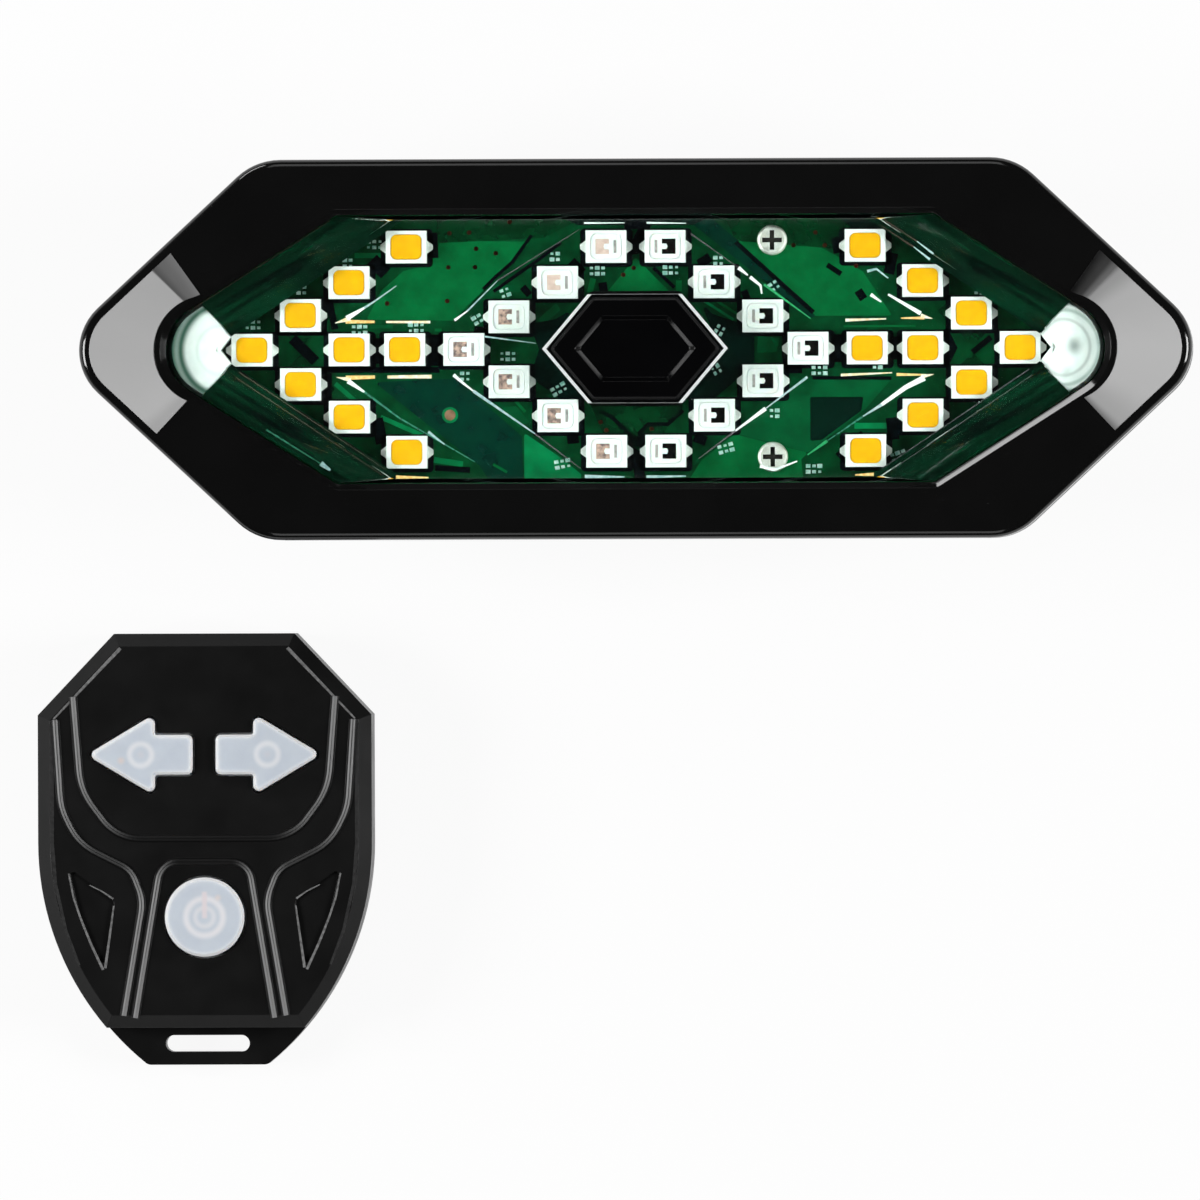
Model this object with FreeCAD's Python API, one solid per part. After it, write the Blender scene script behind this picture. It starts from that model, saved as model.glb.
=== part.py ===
"""Bicycle tail light with turn signals and the small handlebar remote that works it.

The set lies on a table on its back, as the photograph shows it from above. Millimetres, +Z up.
+X runs along the lamp, +Y across it, and +Z is the way the lamp shines. The origin is on the
table, at the centre of the set's footprint. Every sub-part is written to parts/NODE.step.
"""

import FreeCAD, Part
import math
import os

from FreeCAD import Vector

# Layout of the set on the table
remote_gap = 8.05           # clear distance between the lamp and the remote, along Y
remote_setback = 4.45       # the remote's left side lies this far outside the lamp's left tip

# Lamp outline, seen from the front
lamp_length = 96.0
lamp_height = 32.8
lamp_side_angle = 43.0      # slope of the pointed ends, degrees from the long axis
lamp_tip_radius = 5.0
lamp_corner_radius = 5.5

# Window in the bezel, where the lens looks out
bezel_end = 7.6             # width of the black frame at the pointed ends
bezel_side = 4.9            # and along the top and bottom
window_length = lamp_length - 2 * bezel_end
window_height = lamp_height - 2 * bezel_side
window_side_angle = 32.4
window_tip_radius = 4.0
window_corner_radius = 0.8

# Raised flat of the lens
lens_slope_end = 4.4        # width of the lens's sloping border at the pointed ends
lens_slope_side = 0.35       # and along the top and bottom
plateau_length = window_length - 2 * lens_slope_end
plateau_height = window_height - 2 * lens_slope_side
plateau_side_angle = 33.5
plateau_tip_radius = 2.2

# Seat post saddle and bracket
post_radius = 13.6          # a 27.2 mm seat post
saddle_half_angle = 65.0    # the pad wraps this far each side of its middle
pad_crown = 1.15            # rubber left over the top of the post
pad_half_width = 14.6
pad_length = 26.0
bracket_plate = 2.0
bracket_wall = 2.0
bracket_length = 28.0
bracket_lift = 1.6          # the bracket's walls stop this far above the pad's feet
bracket_corner = 2.5
bracket_chamfer = 0.6
pad_corner = 0.6
hook_reach = 3.2
hook_width = 5.0
hook_arm = 1.6
hook_lip = 1.7
hook_lip_thickness = 1.2
hook_height = 4.2           # underside of the hook's arm, above the table
hook_spacing = 16.0

# Bayonet between the bracket and the lamp
bayonet_gap = 0.3
bayonet_neck_radius = 7.4
bayonet_tab_radius = 9.4
bayonet_tab_thickness = 1.2
bayonet_tab_angle = 60.0
bayonet_entry_angle = 72.0
bayonet_ledge = 1.2
bayonet_clearance = 0.15
bayonet_radial_clearance = 0.35
bayonet_stop_angle = 8.0
socket_wall = 1.4
socket_roof = 1.2
friction_ring_radius = 13.0
friction_ring_section = 0.6
bayonet_screw_radius = 1.5
bayonet_screw_head_radius = 2.9
hex_socket_radius = 1.1
hex_socket_depth = 1.0

# Lamp casing
housing_wall = 1.8
back_wall = 1.7
back_edge_radius = 1.6
bezel_wall = 1.6
bezel_plate = 1.8
bezel_edge_radius = 0.75
window_lip = 0.6            # width of the slope that leads down to the lens
window_lip_drop = 0.36
lens_clearance = 0.1
collar_wall = 1.25
seal_thickness = 0.6
seal_margin = 0.1
lens_flange = 1.0
lens_flange_margin = 1.9
lens_hollow_margin = 0.25   # its hollow underside is this much smaller than the window
lens_edge_height = 1.4      # upright edge of the lens above its underside
lens_rise = 0.8             # the flat of the lens stands this far above the bezel
lens_pad_thickness = 0.4

# Screws of the lamp casing
case_screw_radius = 1.0
case_screw_head_radius = 1.9
case_screw_head_height = 1.4
case_boss_radius = 2.1
case_boss_gap = 0.2         # between the bosses and the collar
case_boss_bond = 0.05       # the bosses run this far into the bezel's wall
case_screw_depth = 2.6      # length of thread in the bezel
case_cross_length = 2.0
case_cross_width = 0.45
case_cross_depth = 0.7
screw_clearance = 0.1
thread_clearance = 0.02

# Grey end panels in the bezel
panel_margin = 0.9
panel_depth = 0.8
panel_proud = 0.05
panel_clearance = 0.05
panel_apex_inset = 5.8      # the two cut lines of a panel meet this far inside the window's tip
panel_arc_inset = 3.6       # and its inner arc is centred this far inside
panel_arc_radius = 4.75

# Circuit board and lights
board_thickness = 1.2
board_margin = 0.4
board_clearance = 0.25
board_screw_radius = 0.8
board_screw_head_radius = 1.3
board_screw_head_height = 0.9
board_screw_length = 6.0
board_cross_length = 1.7
board_cross_width = 0.4
board_boss_radius = 1.9
led_length = 3.5
led_width = 2.8
led_height = 1.9
led_window_length = 2.72
led_window_width = 2.2
led_window_depth = 0.6
led_window_corner = 0.55
led_window_fill = 0.5
led_window_clearance = 0.03
led_terminal_reach = 0.5
led_terminal_root = 1.15         # width of a terminal beside the package
led_terminal_end = 0.4           # and at its tip
led_terminal_height = 0.7
led_to_lens = 0.9
# Places on the board, as shares of the window's half length and half height
turn_led_spread = [(0.8205, 0.0), (0.7166, 0.2591), (0.7166, -0.2591), (0.6126, 0.5043),
                   (0.6126, -0.5043), (0.4901, 0.7696), (0.4901, -0.7696), (0.6126, 0.0),
                   (0.4938, 0.0)]
brake_led_spread = [(0.0631, 0.7678), (0.1671, 0.5), (0.271, 0.2435), (0.3676, 0.0),
                    (0.271, -0.2435), (0.1671, -0.5), (0.0631, -0.7678)]
board_screw_spread = (0.2911, 0.813)
lens_wing_spread = [(0.3688, 0.2043), (0.6262, 0.2043), (0.3317, 0.887), (0.099, 0.887)]
tip_reflector_length = 5.5  # from its notched corners to the window's tip
tip_reflector_notch = 0.9
tip_reflector_half = 1.15
tip_reflector_inset = 0.6
tip_reflector_gap = 0.15

# Power button in the middle of the lens
button_length = 14.8
button_height = 8.95
button_side_angle = 50.0
button_corner = 0.4
button_clearance = 0.18
button_flange = 0.5
button_flange_thickness = 0.6
button_flange_gap = 0.1
button_proud = 0.25
button_edge = 0.3
button_dish_inset = 1.65
button_dish_depth = 0.35
button_travel = 0.35
lamp_switch_length = 6.0
lamp_switch_width = 3.6
lamp_switch_height = 1.6
plunger_radius = 0.9
plunger_clearance = 0.08
plunger_gap = 0.05
plunger_length = 1.2

# Battery and parts under the board
battery_length = 38.0
battery_width = 13.0
battery_thickness = 4.0
battery_edge_radius = 1.4
battery_to_board = 0.5
foam_thickness = 0.5
foam_length = 16.0
foam_width = 11.0
rib_position = 17.0
rib_thickness = 1.2
rib_setback = 1.0           # the ribs end this far inside the cell's sides
lead_radius = 0.45
lead_spacing = 3.2
lead_reach = 2.6
lead_bend = 1.2
chip_length = 9.9
chip_width = 3.9
chip_height = 1.5
chip_leg = 1.05
chip_leg_root = 0.05
chip_leg_width = 0.4
chip_leg_pitch = 1.27
chip_to_battery = 5.0
radio_length = 8.0
radio_width = 7.0
radio_thickness = 0.8
radio_drop = 1.6
radio_to_battery = 5.0
radio_y = 1.6
radio_pin = 0.6
radio_pin_pitch = 2.0
radio_shield_thickness = 1.2
radio_shield_margin = 1.2
capacitor_length = 2.0
capacitor_width = 1.25
capacitor_height = 0.9
diode_length = 3.2
diode_width = 1.6
diode_height = 1.1
part_spacing = 1.6          # between the small parts and their neighbours
inductor_radius = 2.0
inductor_height = 2.2
inductor_to_battery = 1.4
inductor_y = -6.5

# Charging socket and its rubber cover, on the lamp's lower side
usb_width = 8.94
usb_to_battery = 0.55
usb_height = 3.26
usb_depth = 7.3
usb_wall = 0.3
usb_tongue_width = 6.7
usb_tongue_thickness = 0.7
usb_tongue_setback = 1.2
usb_mouth = 2.8             # the socket's mouth lies this far behind the casing's face
usb_port_margin = 0.45
usb_block_wall = 1.3
usb_to_parting = 0.3
cover_length = 12.6
cover_height = 5.9
cover_thickness = 1.0
cover_clearance = 0.2
cover_plug_depth = 1.3
cover_plug_clearance = 0.25

# Remote outline, seen from the front
remote_width = 29.0
remote_height = 37.5
remote_top_half = 7.85
remote_shoulder_drop = 7.05
remote_bottom_half = 5.2        # half the width of its lower edge
remote_side_arc_start = 18.15   # the sides curve inwards from here, below the top edge
remote_tab = 3.3                # length of the thin tab with the slot
remote_tab_thickness = 3.4
remote_tab_lift = 0.6
remote_corner_radius = 0.8
slot_length = 7.3
slot_width = 1.45
slot_from_bottom = 1.85

# Remote casing
remote_wall = 1.5
remote_floor = 2.2
remote_parting = 5.0
remote_plate = 1.0
remote_edge = 1.1
remote_groove = 0.5
upper_screw_from_side = 3.6
upper_screw_from_top = 7.45
lower_screw_from_side = 3.2
lower_screw_from_edge = 3.55    # above the lower edge of the thick body
remote_boss_radius = 1.6
remote_screw_radius = 0.75
remote_screw_head_radius = 1.35
remote_screw_head_height = 0.8
remote_gasket_thickness = 0.4
bead_radius = 0.34
bead_height = 0.28
recess_depth = 0.3
remote_back_chamfer = 0.5
remote_screw_sink = 0.05     # the heads lie this far inside the remote's back
remote_cross_length = 1.5
remote_cross_width = 0.35
remote_cross_depth = 0.45
remote_screw_end = 0.6       # the screws end this far under the top plate
remote_thread_run_out = 0.2
# Relief on the face, as shares of its half width and of its length from the lower edge
bowl_spread = [(-0.7848, 0.8406), (-0.7414, 0.6038), (-0.5241, 0.4804), (0.5241, 0.4804),
               (0.7414, 0.6038), (0.7848, 0.8406)]
key_frame_spread = [(-0.4172, 0.0249), (-0.2621, 0.4211), (0.2621, 0.4211), (0.4172, 0.0249)]
waist_spread = [(0.8931, 0.7822), (0.8586, 0.557), (0.7517, 0.4678), (0.4379, 0.4006),
                (0.369, 0.3231), (0.4856, 0.0307)]
recess_spread = [(0.8172, 0.4079), (0.7517, 0.2909), (0.6034, 0.1418), (0.5379, 0.3231)]
bowl_radii = [0, 6.0, 4.2, 4.2, 6.0, 0]
key_frame_radii = [0, 1.8, 1.8, 0]
waist_radii = [0, 6.0, 5.0, 2.4, 4.0, 0]
recess_radii = [0.3, 8.0, 0.3, 0.8]

# Remote cell, its door and the board above it
cell_radius = 10.0
cell_thickness = 3.2
cell_clearance = 0.3
cell_step = 0.5             # height of the step round the cell's top
cell_step_width = 1.2
cell_edge_radius = 0.3
door_radius = 11.0
door_plate = 0.7
door_sink = 0.1
door_clearance = 0.15
door_neck_radius = 10.1
door_tab_thickness = 0.5
door_tab_angle = 26.0
door_tab_middles = (30.0, 150.0, 270.0)
door_entry_turn = 60.0      # the ways in for the tabs lie this far round from them
door_entry_play = 8.0
door_rim = 1.0              # wall of the door's hollow neck
door_seal_outset = 0.15     # from the neck to the seal
door_seal_inset = 0.1       # from the seal to the door's edge
door_ledge = 0.6
door_gap = 0.1
door_slot_length = 9.0
door_slot_width = 1.4
door_slot_depth = 0.45
cup_wall = 1.1
remote_board_thickness = 1.0
remote_board_inset = 2.0
cell_to_board = 0.5
contact_thickness = 0.2
contact_width = 3.0
contact_play = 0.5          # each side of the strip in its notch
contact_gap = 0.02          # from the strip to the cell
contact_foot = 0.6          # the strip starts this far above the cell's underside
top_contact_length = 7.0
top_contact_width = 2.6
top_contact_leg = 0.4
remote_switch_side = 3.6
remote_switch_height = 0.85
remote_plunger_height = 0.45
remote_switch_floor = 0.1
remote_plunger_play = 0.05
remote_chip_side = 3.0
remote_chip_height = 0.75
remote_crystal_length = 3.2
remote_crystal_width = 1.5
remote_crystal_height = 0.8
remote_capacitor_length = 1.0
remote_capacitor_width = 0.5
remote_capacitor_height = 0.4
remote_part_spacing = 1.2
indicator_length = 1.0
indicator_width = 0.6
indicator_height = 0.5
indicator_gap = 0.6         # from the left switch to the indicator light

# Remote keys
arrow_tip = 10.22
arrow_back = 4.27
arrow_end = 1.0
arrow_half_head = 3.55
arrow_half_shaft = 1.73
arrow_from_top = 10.5
arrow_switch_x = 5.5
arrow_corner = 0.5
arrow_inner_corner = 0.2
arrow_chamfer = 0.22
power_key_chamfer = 0.25
power_key_radius = 3.45
power_key_from_top = 24.6
key_clearance = 0.15
key_flange = 0.45
key_flange_thickness = 0.5
key_proud = 0.55
key_gap = 0.05
key_travel = 0.35

# Heights above the table that follow from the sizes above
saddle_axis_z = -post_radius * math.cos(math.radians(saddle_half_angle))
pad_top = saddle_axis_z + post_radius + pad_crown
bracket_top = pad_top + bracket_plate
lamp_back = bracket_top + bayonet_gap
ledge_top = lamp_back + bayonet_ledge
tab_bottom = ledge_top + bayonet_clearance
tab_top = tab_bottom + bayonet_tab_thickness
socket_top = tab_top + bayonet_clearance
roof_top = socket_top + socket_roof
battery_bottom = roof_top + foam_thickness
board_bottom = battery_bottom + battery_thickness + battery_to_board
board_top = board_bottom + board_thickness
led_top = board_top + led_height
lens_bottom = led_top + led_to_lens
plate_bottom = lens_bottom + lens_flange - seal_thickness
flange_bottom = plate_bottom - lens_flange
seal_bottom = flange_bottom - seal_thickness
lamp_face = plate_bottom + bezel_plate
lens_top = lamp_face + lens_rise
lamp_floor = lamp_back + back_wall
usb_top = board_bottom
usb_middle = usb_top - usb_height / 2
usb_port_height = usb_height + 2 * usb_port_margin
lamp_parting = usb_middle + max(usb_port_height / 2, cover_height / 2 + cover_clearance)
lamp_parting += usb_to_parting

arrow_y = remote_height / 2 - arrow_from_top
power_key_y = remote_height / 2 - power_key_from_top
door_bottom = door_sink
door_neck_top = door_bottom + door_plate + door_gap + door_ledge + door_gap
door_top = door_neck_top + door_tab_thickness
cell_bottom = max(door_top + door_gap, remote_floor)
cell_top = cell_bottom + cell_thickness
remote_board_bottom = cell_top + cell_to_board
remote_board_top = remote_board_bottom + remote_board_thickness
remote_plunger_top = remote_board_top + remote_switch_height + remote_plunger_height
key_bottom = remote_plunger_top + plunger_gap
remote_plate_bottom = key_bottom + key_flange_thickness + key_gap
remote_face = remote_plate_bottom + remote_plate

# Places along the lamp that follow from the battery's length
usb_x = battery_length / 2 + usb_to_battery + usb_width / 2
chip_position = -(battery_length / 2 + chip_to_battery + chip_width / 2 + chip_leg)
inductor_x = -(battery_length / 2 + inductor_to_battery + inductor_radius)
radio_x = battery_length / 2 + radio_to_battery + radio_length / 2

# Footprint of the set, from which the lamp and the remote are placed about the origin
set_width = lamp_length + remote_setback
set_depth = lamp_height + remote_gap + remote_height
lamp_place = Vector(set_width / 2 - lamp_length / 2, set_depth / 2 - lamp_height / 2, 0)
remote_place = Vector(remote_width / 2 - set_width / 2, remote_height / 2 - set_depth / 2, 0)


def at(x, y, z=0.0):
    """A point."""
    return Vector(x, y, z)


def rounded_edges(points, radii, closed=True):
    """Straight runs through the points, joined by tangent arcs of the given radii."""
    count = len(points)
    entries, exits, middles = [], [], []
    for i, here in enumerate(points):
        radius = radii[i]
        inner = closed or 0 < i < count - 1
        if not inner or radius <= 0:
            entries.append(here)
            exits.append(here)
            middles.append(None)
            continue
        back = (points[i - 1] - here).normalize()
        ahead = (points[(i + 1) % count] - here).normalize()
        half = back.getAngle(ahead) / 2
        reach = radius / math.tan(half)
        entries.append(here + back * reach)
        exits.append(here + ahead * reach)
        middles.append(here + (back + ahead).normalize() * (radius / math.sin(half) - radius))
    edges = []
    for i in range(count):
        if middles[i] is not None:
            edges.append(Part.Arc(entries[i], middles[i], exits[i]).toShape())
        if closed or i < count - 1:
            following = entries[(i + 1) % count]
            if (following - exits[i]).Length > 1e-6:
                edges.append(Part.LineSegment(exits[i], following).toShape())
    return edges


def outline(points, radii, z=0.0):
    """A closed wire with rounded corners at height z."""
    return Part.Wire(rounded_edges([at(x, y, z) for x, y in points], radii))


def prism(points, radii, bottom, top):
    """A solid with a rounded outline between two heights."""
    return Part.Face(outline(points, radii, bottom)).extrude(at(0, 0, top - bottom))


def sharp_prism(points, bottom, top):
    """A solid between two heights whose outline has sharp corners."""
    return prism(points, [0] * len(points), bottom, top)


def block(x, y, z, length, width, height):
    """A box centred on x and y, standing on z."""
    return Part.makeBox(length, width, height, at(x - length / 2, y - width / 2, z))


def rounded_block(x, y, z, length, width, height, radius):
    """A box with rounded upright edges, centred on x and y, standing on z."""
    points = [(x + sx * length / 2, y + sy * width / 2) for sx, sy in
              ((1, -1), (1, 1), (-1, 1), (-1, -1))]
    return prism(points, [radius] * 4, z, z + height)


def post(x, y, bottom, top, radius):
    """An upright cylinder."""
    return Part.makeCylinder(radius, top - bottom, at(x, y, bottom))


def tube(x, y, bottom, top, outer, inner):
    """An upright ring."""
    return post(x, y, bottom, top, outer).cut(post(x, y, bottom, top, inner))


def sector(radius, bottom, top, middle_angle, width_angle):
    """A wedge of a cylinder about the Z axis."""
    wedge = Part.makeCylinder(radius, top - bottom, at(0, 0, bottom), at(0, 0, 1), width_angle)
    wedge.rotate(at(0, 0), at(0, 0, 1), middle_angle - width_angle / 2)
    return wedge


def join(shapes):
    """One solid from several that touch or overlap."""
    whole = shapes[0]
    if len(shapes) > 1:
        whole = shapes[0].fuse(shapes[1:])
    return whole.removeSplitter()


def slot_prism(x, y, z, length, width, height):
    """A slot with round ends, length along X, centred on x and y, standing on z."""
    half = (length - width) / 2
    body = block(x, y, z, 2 * half, width, height)
    ends = [Part.makeCylinder(width / 2, height, at(x + s * half, y, z)) for s in (-1, 1)]
    return join([body] + ends)


class Hexagon:
    """A long hexagon, pointed at both ends of the X axis, with rounded corners."""

    def __init__(self, tip, half_height, angle, tip_radius, corner_radius):
        self.tip = tip
        self.half_height = half_height
        self.angle = angle
        self.tip_radius = tip_radius
        self.corner_radius = corner_radius

    @classmethod
    def of_length(cls, length, height, angle, tip_radius, corner_radius):
        """The hexagon whose rounded tips are length apart."""
        recess = tip_radius * (1 / math.sin(math.radians(angle)) - 1)
        return cls(length / 2 + recess, height / 2, angle, tip_radius, corner_radius)

    def beside_slope(self, y, distance):
        """X of the point at height y that lies this far outside the sloping side."""
        slope = math.radians(self.angle)
        return self.tip - (y - distance / math.cos(slope)) / math.tan(slope)

    def inset(self, distance):
        """The same outline moved inwards, or outwards when distance is negative."""
        return Hexagon(self.tip - distance / math.sin(math.radians(self.angle)),
                       self.half_height - distance, self.angle,
                       max(self.tip_radius - distance, 0.3),
                       max(self.corner_radius - distance, 0.3))

    def points(self):
        """Corners, anticlockwise from the right-hand tip."""
        shoulder = self.tip - self.half_height / math.tan(math.radians(self.angle))
        return [(self.tip, 0), (shoulder, self.half_height), (-shoulder, self.half_height),
                (-self.tip, 0), (-shoulder, -self.half_height), (shoulder, -self.half_height)]

    def radii(self):
        """Rounding of each corner."""
        return [self.tip_radius, self.corner_radius, self.corner_radius] * 2

    def wire(self, z):
        """The outline at height z."""
        return outline(self.points(), self.radii(), z)

    def prism(self, bottom, top):
        """A solid of this outline between two heights."""
        return prism(self.points(), self.radii(), bottom, top)


lamp_outline = Hexagon.of_length(lamp_length, lamp_height, lamp_side_angle,
                                 lamp_tip_radius, lamp_corner_radius)
window = Hexagon.of_length(window_length, window_height, window_side_angle,
                           window_tip_radius, window_corner_radius)
plateau = Hexagon.of_length(plateau_length, plateau_height, plateau_side_angle,
                            plateau_tip_radius, window_corner_radius)
board_outline = window.inset(-board_margin)
collar_inside = board_outline.inset(-board_clearance)
collar_outside = collar_inside.inset(-collar_wall)
button_outline = Hexagon(button_length / 2, button_height / 2, button_side_angle,
                         button_corner, button_corner)
case_screw_y = lamp_height / 2 - bezel_wall - case_boss_radius + case_boss_bond
case_screw_x = collar_outside.beside_slope(case_screw_y, case_boss_radius + case_boss_gap)
case_screws = [(sx * case_screw_x, sy * case_screw_y) for sx in (-1, 1) for sy in (-1, 1)]


def spread(places):
    """Places on the board in mm, from shares of the window's half sizes."""
    return [(u * window_length / 2, v * window_height / 2) for u, v in places]


board_screw_x, board_screw_y = spread([board_screw_spread])[0]
board_screw_places = [(board_screw_x, board_screw_y), (board_screw_x, -board_screw_y)]
board_peg_places = [(-board_screw_x, board_screw_y), (-board_screw_x, -board_screw_y)]
turn_led_places = spread(turn_led_spread)
brake_led_places = spread(brake_led_spread)
port_y = -lamp_height / 2


def edges_at(shape, z):
    """Edges of a shape that lie flat at height z."""
    return [e for e in shape.Edges
            if abs(e.BoundBox.ZMin - z) < 1e-4 and abs(e.BoundBox.ZMax - z) < 1e-4]


# Lamp casing


def port_slot(margin, depth_from, depth_to):
    """The charging port's slot, from one depth behind the lower face to another."""
    slot = slot_prism(usb_x, 0, 0, usb_width + 2 * margin, usb_height + 2 * margin,
                      depth_to - depth_from)
    slot.rotate(at(0, 0), at(1, 0), -90)
    slot.translate(at(0, port_y + depth_from, usb_middle))
    return slot


def cover_hinge():
    """Centre of the rubber cover's hinge roll, in the lamp's own frame."""
    return at(usb_x - cover_length / 2 + cover_thickness / 2, port_y + cover_thickness / 2)


def bayonet_socket():
    """The space that the bayonet's tabs turn in, with its two ways in and its stops."""
    reach = bayonet_tab_radius + bayonet_radial_clearance
    mouth = post(0, 0, lamp_back, ledge_top, bayonet_neck_radius + bayonet_radial_clearance)
    groove = post(0, 0, ledge_top, socket_top, reach)
    entries = [sector(reach, lamp_back, ledge_top, a, bayonet_entry_angle) for a in (90, 270)]
    stops = []
    for side in (0, 180):
        middle = side - bayonet_tab_angle / 2 - bayonet_stop_angle
        stops.append(sector(reach, ledge_top, socket_top, middle, bayonet_stop_angle).cut(
            post(0, 0, ledge_top, socket_top,
                 bayonet_neck_radius + bayonet_radial_clearance)))
    return join([mouth, groove] + entries).cut(Part.makeCompound(stops))


def rear_housing():
    """Rear tray of the lamp: walls, collar, bosses, battery ribs, port and bayonet socket."""
    tray = lamp_outline.prism(lamp_back, lamp_parting)
    tray = tray.makeFillet(back_edge_radius, edges_at(tray, lamp_back))
    tray = tray.cut(lamp_outline.inset(housing_wall).prism(lamp_floor, lamp_parting))
    inner_foot = lamp_back + back_wall / 2
    collar = collar_outside.prism(inner_foot, seal_bottom).cut(
        collar_inside.prism(inner_foot, seal_bottom))
    additions = [collar]
    for x, y in case_screws:
        boss = post(x, y, inner_foot, lamp_parting, case_boss_radius)
        additions.append(boss.common(lamp_outline.inset(housing_wall / 2).prism(
            inner_foot, lamp_parting)))
    for x, y in board_screw_places + board_peg_places:
        additions.append(post(x, y, inner_foot, board_bottom, board_boss_radius))
    for side in (-1, 1):
        additions.append(block(side * rib_position, 0, inner_foot, rib_thickness,
                               battery_width - 2 * rib_setback, battery_bottom - inner_foot))
    socket_radius = bayonet_tab_radius + bayonet_radial_clearance + socket_wall
    additions.append(post(0, 0, inner_foot, roof_top, socket_radius))
    port_half = max(usb_height / 2 + usb_port_margin, cover_height / 2) + usb_block_wall
    port_block_bottom = max(usb_middle - port_half, inner_foot)
    port_block_back = port_y + usb_mouth + usb_block_wall
    additions.append(Part.makeBox(
        usb_width + 2 * (usb_port_margin + usb_block_wall),
        port_block_back - port_y - housing_wall / 2,
        lamp_parting - port_block_bottom,
        at(usb_x - usb_width / 2 - usb_port_margin - usb_block_wall,
           port_y + housing_wall / 2, port_block_bottom)))
    housing = join([tray] + additions)
    cuts = [bayonet_socket(), port_slot(usb_port_margin, 0, usb_mouth),
            port_slot(cover_clearance, usb_mouth, usb_mouth + usb_depth)]
    head_seat = case_screw_head_height + screw_clearance + back_edge_radius / 2
    for x, y in case_screws:
        cuts.append(post(x, y, lamp_back, lamp_parting, case_screw_radius + screw_clearance))
        cuts.append(post(x, y, lamp_back, lamp_back + head_seat,
                         case_screw_head_radius + screw_clearance))
    for x, y in board_screw_places:
        cuts.append(post(x, y, board_bottom - board_screw_length, board_bottom,
                         board_screw_radius + thread_clearance))
    recess_length = cover_length + 2 * cover_clearance
    cuts.append(Part.makeBox(
        recess_length, cover_thickness + cover_clearance, cover_height + 2 * cover_clearance,
        at(usb_x - recess_length / 2, port_y, usb_middle - cover_height / 2 - cover_clearance)))
    for cut in cuts:
        housing = housing.cut(cut)
    return housing.removeSplitter()


def end_panel_region(margin, bottom, top):
    """Chevron at the right-hand end of the bezel, around the tip of the window."""
    slope = math.radians(90 - lamp_side_angle)
    reach = lamp_length
    apex = window_length / 2 - panel_apex_inset - margin
    wedge = prism([(apex, 0), (apex + reach * math.cos(slope), reach * math.sin(slope)),
                   (apex + reach * math.cos(slope), -reach * math.sin(slope))],
                  [0, 0, 0], bottom, top)
    region = lamp_outline.inset(panel_margin - margin).prism(bottom, top).common(wedge)
    return region.cut(post(window_length / 2 - panel_arc_inset, 0, bottom, top,
                           panel_arc_radius - margin))


def front_bezel():
    """Glossy front frame with the window, its inner slope, screw bosses and panel pockets."""
    bezel = lamp_outline.prism(lamp_parting, lamp_face)
    bezel = bezel.makeFillet(bezel_edge_radius, edges_at(bezel, lamp_face))
    bezel = bezel.cut(lamp_outline.inset(bezel_wall).prism(lamp_parting, plate_bottom))
    for x, y in case_screws:
        boss = post(x, y, lamp_parting, plate_bottom + bezel_plate / 2, case_boss_radius)
        bezel = bezel.fuse(boss.common(lamp_outline.inset(bezel_wall / 2).prism(
            lamp_parting, lamp_face)))
    opening = window.inset(-lens_clearance)
    bezel = bezel.cut(opening.prism(plate_bottom - lens_flange, lamp_face))
    lip = Part.makeLoft([opening.wire(lamp_face - window_lip_drop),
                         window.inset(-window_lip).wire(lamp_face)], True, True)
    bezel = bezel.cut(lip)
    for x, y in case_screws:
        bezel = bezel.cut(post(x, y, lamp_parting, lamp_parting + case_screw_depth,
                               case_screw_radius + thread_clearance))
    pocket = end_panel_region(panel_clearance, lamp_face - panel_depth, lamp_face + 1)
    bezel = bezel.cut(pocket).cut(pocket.mirror(at(0, 0), at(1, 0, 0)))
    return bezel.removeSplitter()


def end_panel(side):
    """Grey chevron insert at one end of the bezel."""
    panel = end_panel_region(0, lamp_face - panel_depth, lamp_face + panel_proud)
    return panel if side > 0 else panel.mirror(at(0, 0), at(1, 0, 0))


def case_screw_set():
    """The four screws that hold the bezel to the rear tray, from behind."""
    seat = lamp_back + case_screw_head_height + back_edge_radius / 2
    screws = []
    for x, y in case_screws:
        head = post(x, y, seat - case_screw_head_height, seat, case_screw_head_radius)
        cross = [block(x, y, seat - case_screw_head_height, case_cross_length,
                       case_cross_width, case_cross_depth),
                 block(x, y, seat - case_screw_head_height, case_cross_width,
                       case_cross_length, case_cross_depth)]
        shank = post(x, y, seat, lamp_parting + case_screw_depth - screw_clearance,
                     case_screw_radius)
        screws.append(join([head.cut(Part.makeCompound(cross)), shank]))
    return Part.makeCompound(screws)


def lens_wing(sx, sy):
    """One of the four flats on the lens's underside, between the ring and an arrow."""
    placed = [(sx * x, sy * y) for x, y in spread(lens_wing_spread)]
    return sharp_prism(placed, lens_bottom - lens_pad_thickness, lens_bottom)


def clear_lens():
    """Clear lens: flange under the bezel, upright edge, sloped sides and a raised flat."""
    edge_top = lens_bottom + lens_edge_height
    flange = window.inset(-lens_flange_margin).prism(flange_bottom, plate_bottom)
    rim = window.prism(flange_bottom, edge_top)
    crown = Part.makeLoft([window.wire(edge_top), plateau.wire(lens_top)], True, True)
    hollow = window.inset(lens_hollow_margin).prism(flange_bottom, lens_bottom)
    wings = [lens_wing(sx, sy) for sx in (-1, 1) for sy in (-1, 1)]
    lens = join([join([flange, rim, crown]).cut(hollow)] + wings)
    hole = button_outline.inset(-button_clearance).prism(flange_bottom, lens_top + 1)
    return lens.cut(hole)


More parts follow.
